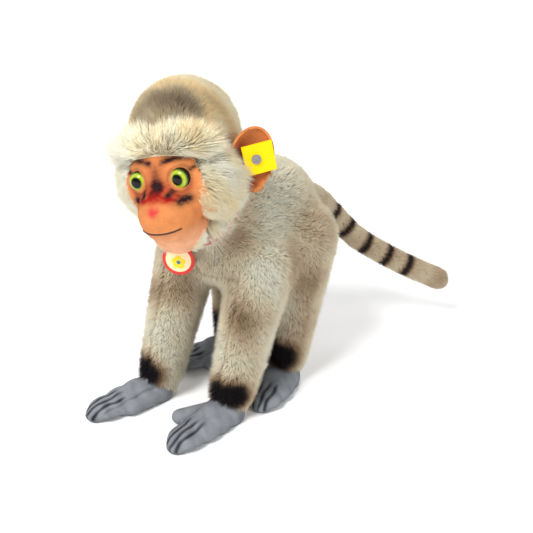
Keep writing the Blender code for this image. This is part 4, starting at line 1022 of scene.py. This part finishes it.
# ---------------------------------------------------------------- ear button and flag
# A small two-headed steel button is clenched through the left ear. It holds a folded length of
# yellow ribbon, which is left blank.

yellow_ribbon = plain("yellow_ribbon", (0.92, 0.58, 0.0), 0.08, 0.8, 0.0, 900, (1, 1, 6))
repaint(yellow_ribbon, "ear_flag")
repaint(bright_steel, "ear_button")

# ---------------------------------------------------------------- collar and card tag
# A red ribbon is tied round the neck under the mane. A round card hangs from it on a loop of thread:
# cream inside a red rim, with a plain yellow flower.

red_ribbon = plain("red_ribbon", (0.32, 0.006, 0.01), 0.15, 0.55, 0.0, 1100)
repaint(red_ribbon, "collar")
low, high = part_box("paper_tag")
TAG_RADIUS = 10 * MM
tag_middle = (low + high) / 2
tag_facing = Quaternion(UP, math.radians(30)) @ -BACK
tag_across = tag_facing.cross(UP)
tag_turn = Matrix((tag_across, -tag_facing, UP)).transposed().to_4x4()
tag_turn.translation = tag_middle
bm = bmesh.new()
stand = Matrix.Rotation(math.radians(90), 4, "X")
disc = {"radius1": TAG_RADIUS, "radius2": TAG_RADIUS, "depth": 0.8 * MM}
bmesh.ops.create_cone(bm, cap_ends=True, segments=96, matrix=stand, **disc)
rim = [edge for edge in bm.edges if abs(edge.verts[0].co.y - edge.verts[1].co.y) < 1e-6]
bmesh.ops.bevel(bm, geom=rim, offset=0.2 * MM, affect="EDGES", segments=2, profile=0.5, material=-1)
layout = bm.loops.layers.uv.new("printing")
for part in bm.faces:
    for corner in part.loops:
        place = corner.vert.co / TAG_RADIUS
        corner[layout].uv = (place.x / 2 + 0.5, place.z / 2 + 0.5)
bmesh.ops.transform(bm, verts=bm.verts, matrix=tag_turn)
tag = object_from("card_tag", bm)
tag_card, tree, shader = material("printed_card")
chart = tree.nodes.new("ShaderNodeUVMap")
chart.uv_map = "printing"
centred = tree.nodes.new("ShaderNodeVectorMath")
centred.operation = "SUBTRACT"
centred.inputs[1].default_value = (0.5, 0.5, 0)
tree.links.new(chart.outputs["UV"], centred.inputs[0])

SOFT_EDGE = 0.012  # share of the card's width


def disc_mask(centre, radius):
    """1 inside a printed disc, 0 outside."""
    shift = tree.nodes.new("ShaderNodeVectorMath")
    shift.operation = "DISTANCE"
    shift.inputs[1].default_value = (*centre, 0)
    tree.links.new(centred.outputs[0], shift.inputs[0])
    return spread(tree, shift.outputs["Value"], radius, radius - SOFT_EDGE)


printed = mixed(tree, "MIX", disc_mask((0, 0), 0.40), (0.6, 0.012, 0.006), (0.88, 0.68, 0.38))
for petal in range(5):
    angle = math.radians(90 + 72 * petal)
    centre = (0.13 * math.cos(angle), 0.13 * math.sin(angle) - 0.08)
    printed = mixed(tree, "MIX", disc_mask(centre, 0.105), printed, (0.92, 0.60, 0.0))
printed = mixed(tree, "MIX", disc_mask((0, -0.08), 0.07), printed, (0.05, 0.16, 0.22))
tree.links.new(printed, shader.inputs["Base Color"])
shader.inputs["Roughness"].default_value = 0.45
finish(tag, tag_card, "tag", "printed_card", "paper_tag")

# ---------------------------------------------------------------- studio
# A plain pale sweep under three soft lights: a strong one above and in front, a weaker one at the
# monkey's left, and one behind that catches the edges of its pile.

bm = bmesh.new()
bmesh.ops.create_grid(bm, x_segments=1, y_segments=1, size=4)
floor = object_from("studio_floor", bm)
paper, tree, shader = material("studio_paper")
shader.inputs["Base Color"].default_value = (0.97, 0.97, 0.97, 1)
shader.inputs["Roughness"].default_value = 0.9
shader.inputs["Specular IOR Level"].default_value = 0.1
floor.data.materials.append(paper)


def soft_light(name, place, size, power, colour=(1, 1, 1)):
    light = bpy.data.lights.new(name, "AREA")
    light.shape = "DISK"
    light.size = size
    light.energy = power
    light.color = colour
    lamp = bpy.data.objects.new(name, light)
    lamp.location = place
    aim = Vector((0, 0.03, 0.1)) - Vector(place)
    lamp.rotation_euler = aim.to_track_quat("-Z", "Y").to_euler()
    bpy.context.scene.collection.objects.link(lamp)


soft_light("key_light", (0.1, -1.2, 1.5), 0.7, 36)
soft_light("fill_light", (1.4, -0.1, 0.9), 1.0, 7)
soft_light("rim_light", (-0.6, 1.1, 1.3), 1.0, 12)
world = bpy.data.worlds.new("studio_air")
world.use_nodes = True
world.node_tree.nodes["Background"].inputs["Color"].default_value = (1, 1, 1, 1)
world.node_tree.nodes["Background"].inputs["Strength"].default_value = 0.5
bpy.context.scene.world = world
bpy.context.scene.view_settings.view_transform = "Standard"

camera_data = bpy.data.cameras.new("camera")
camera_data.lens = 65.25
camera_data.sensor_width = 36
camera_data.shift_x = 0.0787
camera_data.shift_y = -0.0267
camera = bpy.data.objects.new("camera", camera_data)
camera.location = Vector((347.2, -371.6, 369.6)) * MM
camera.rotation_euler = (Vector((-25, 20, 100)) * MM - camera.location).to_track_quat("-Z", "Y").to_euler()
bpy.context.scene.collection.objects.link(camera)
bpy.context.scene.camera = camera
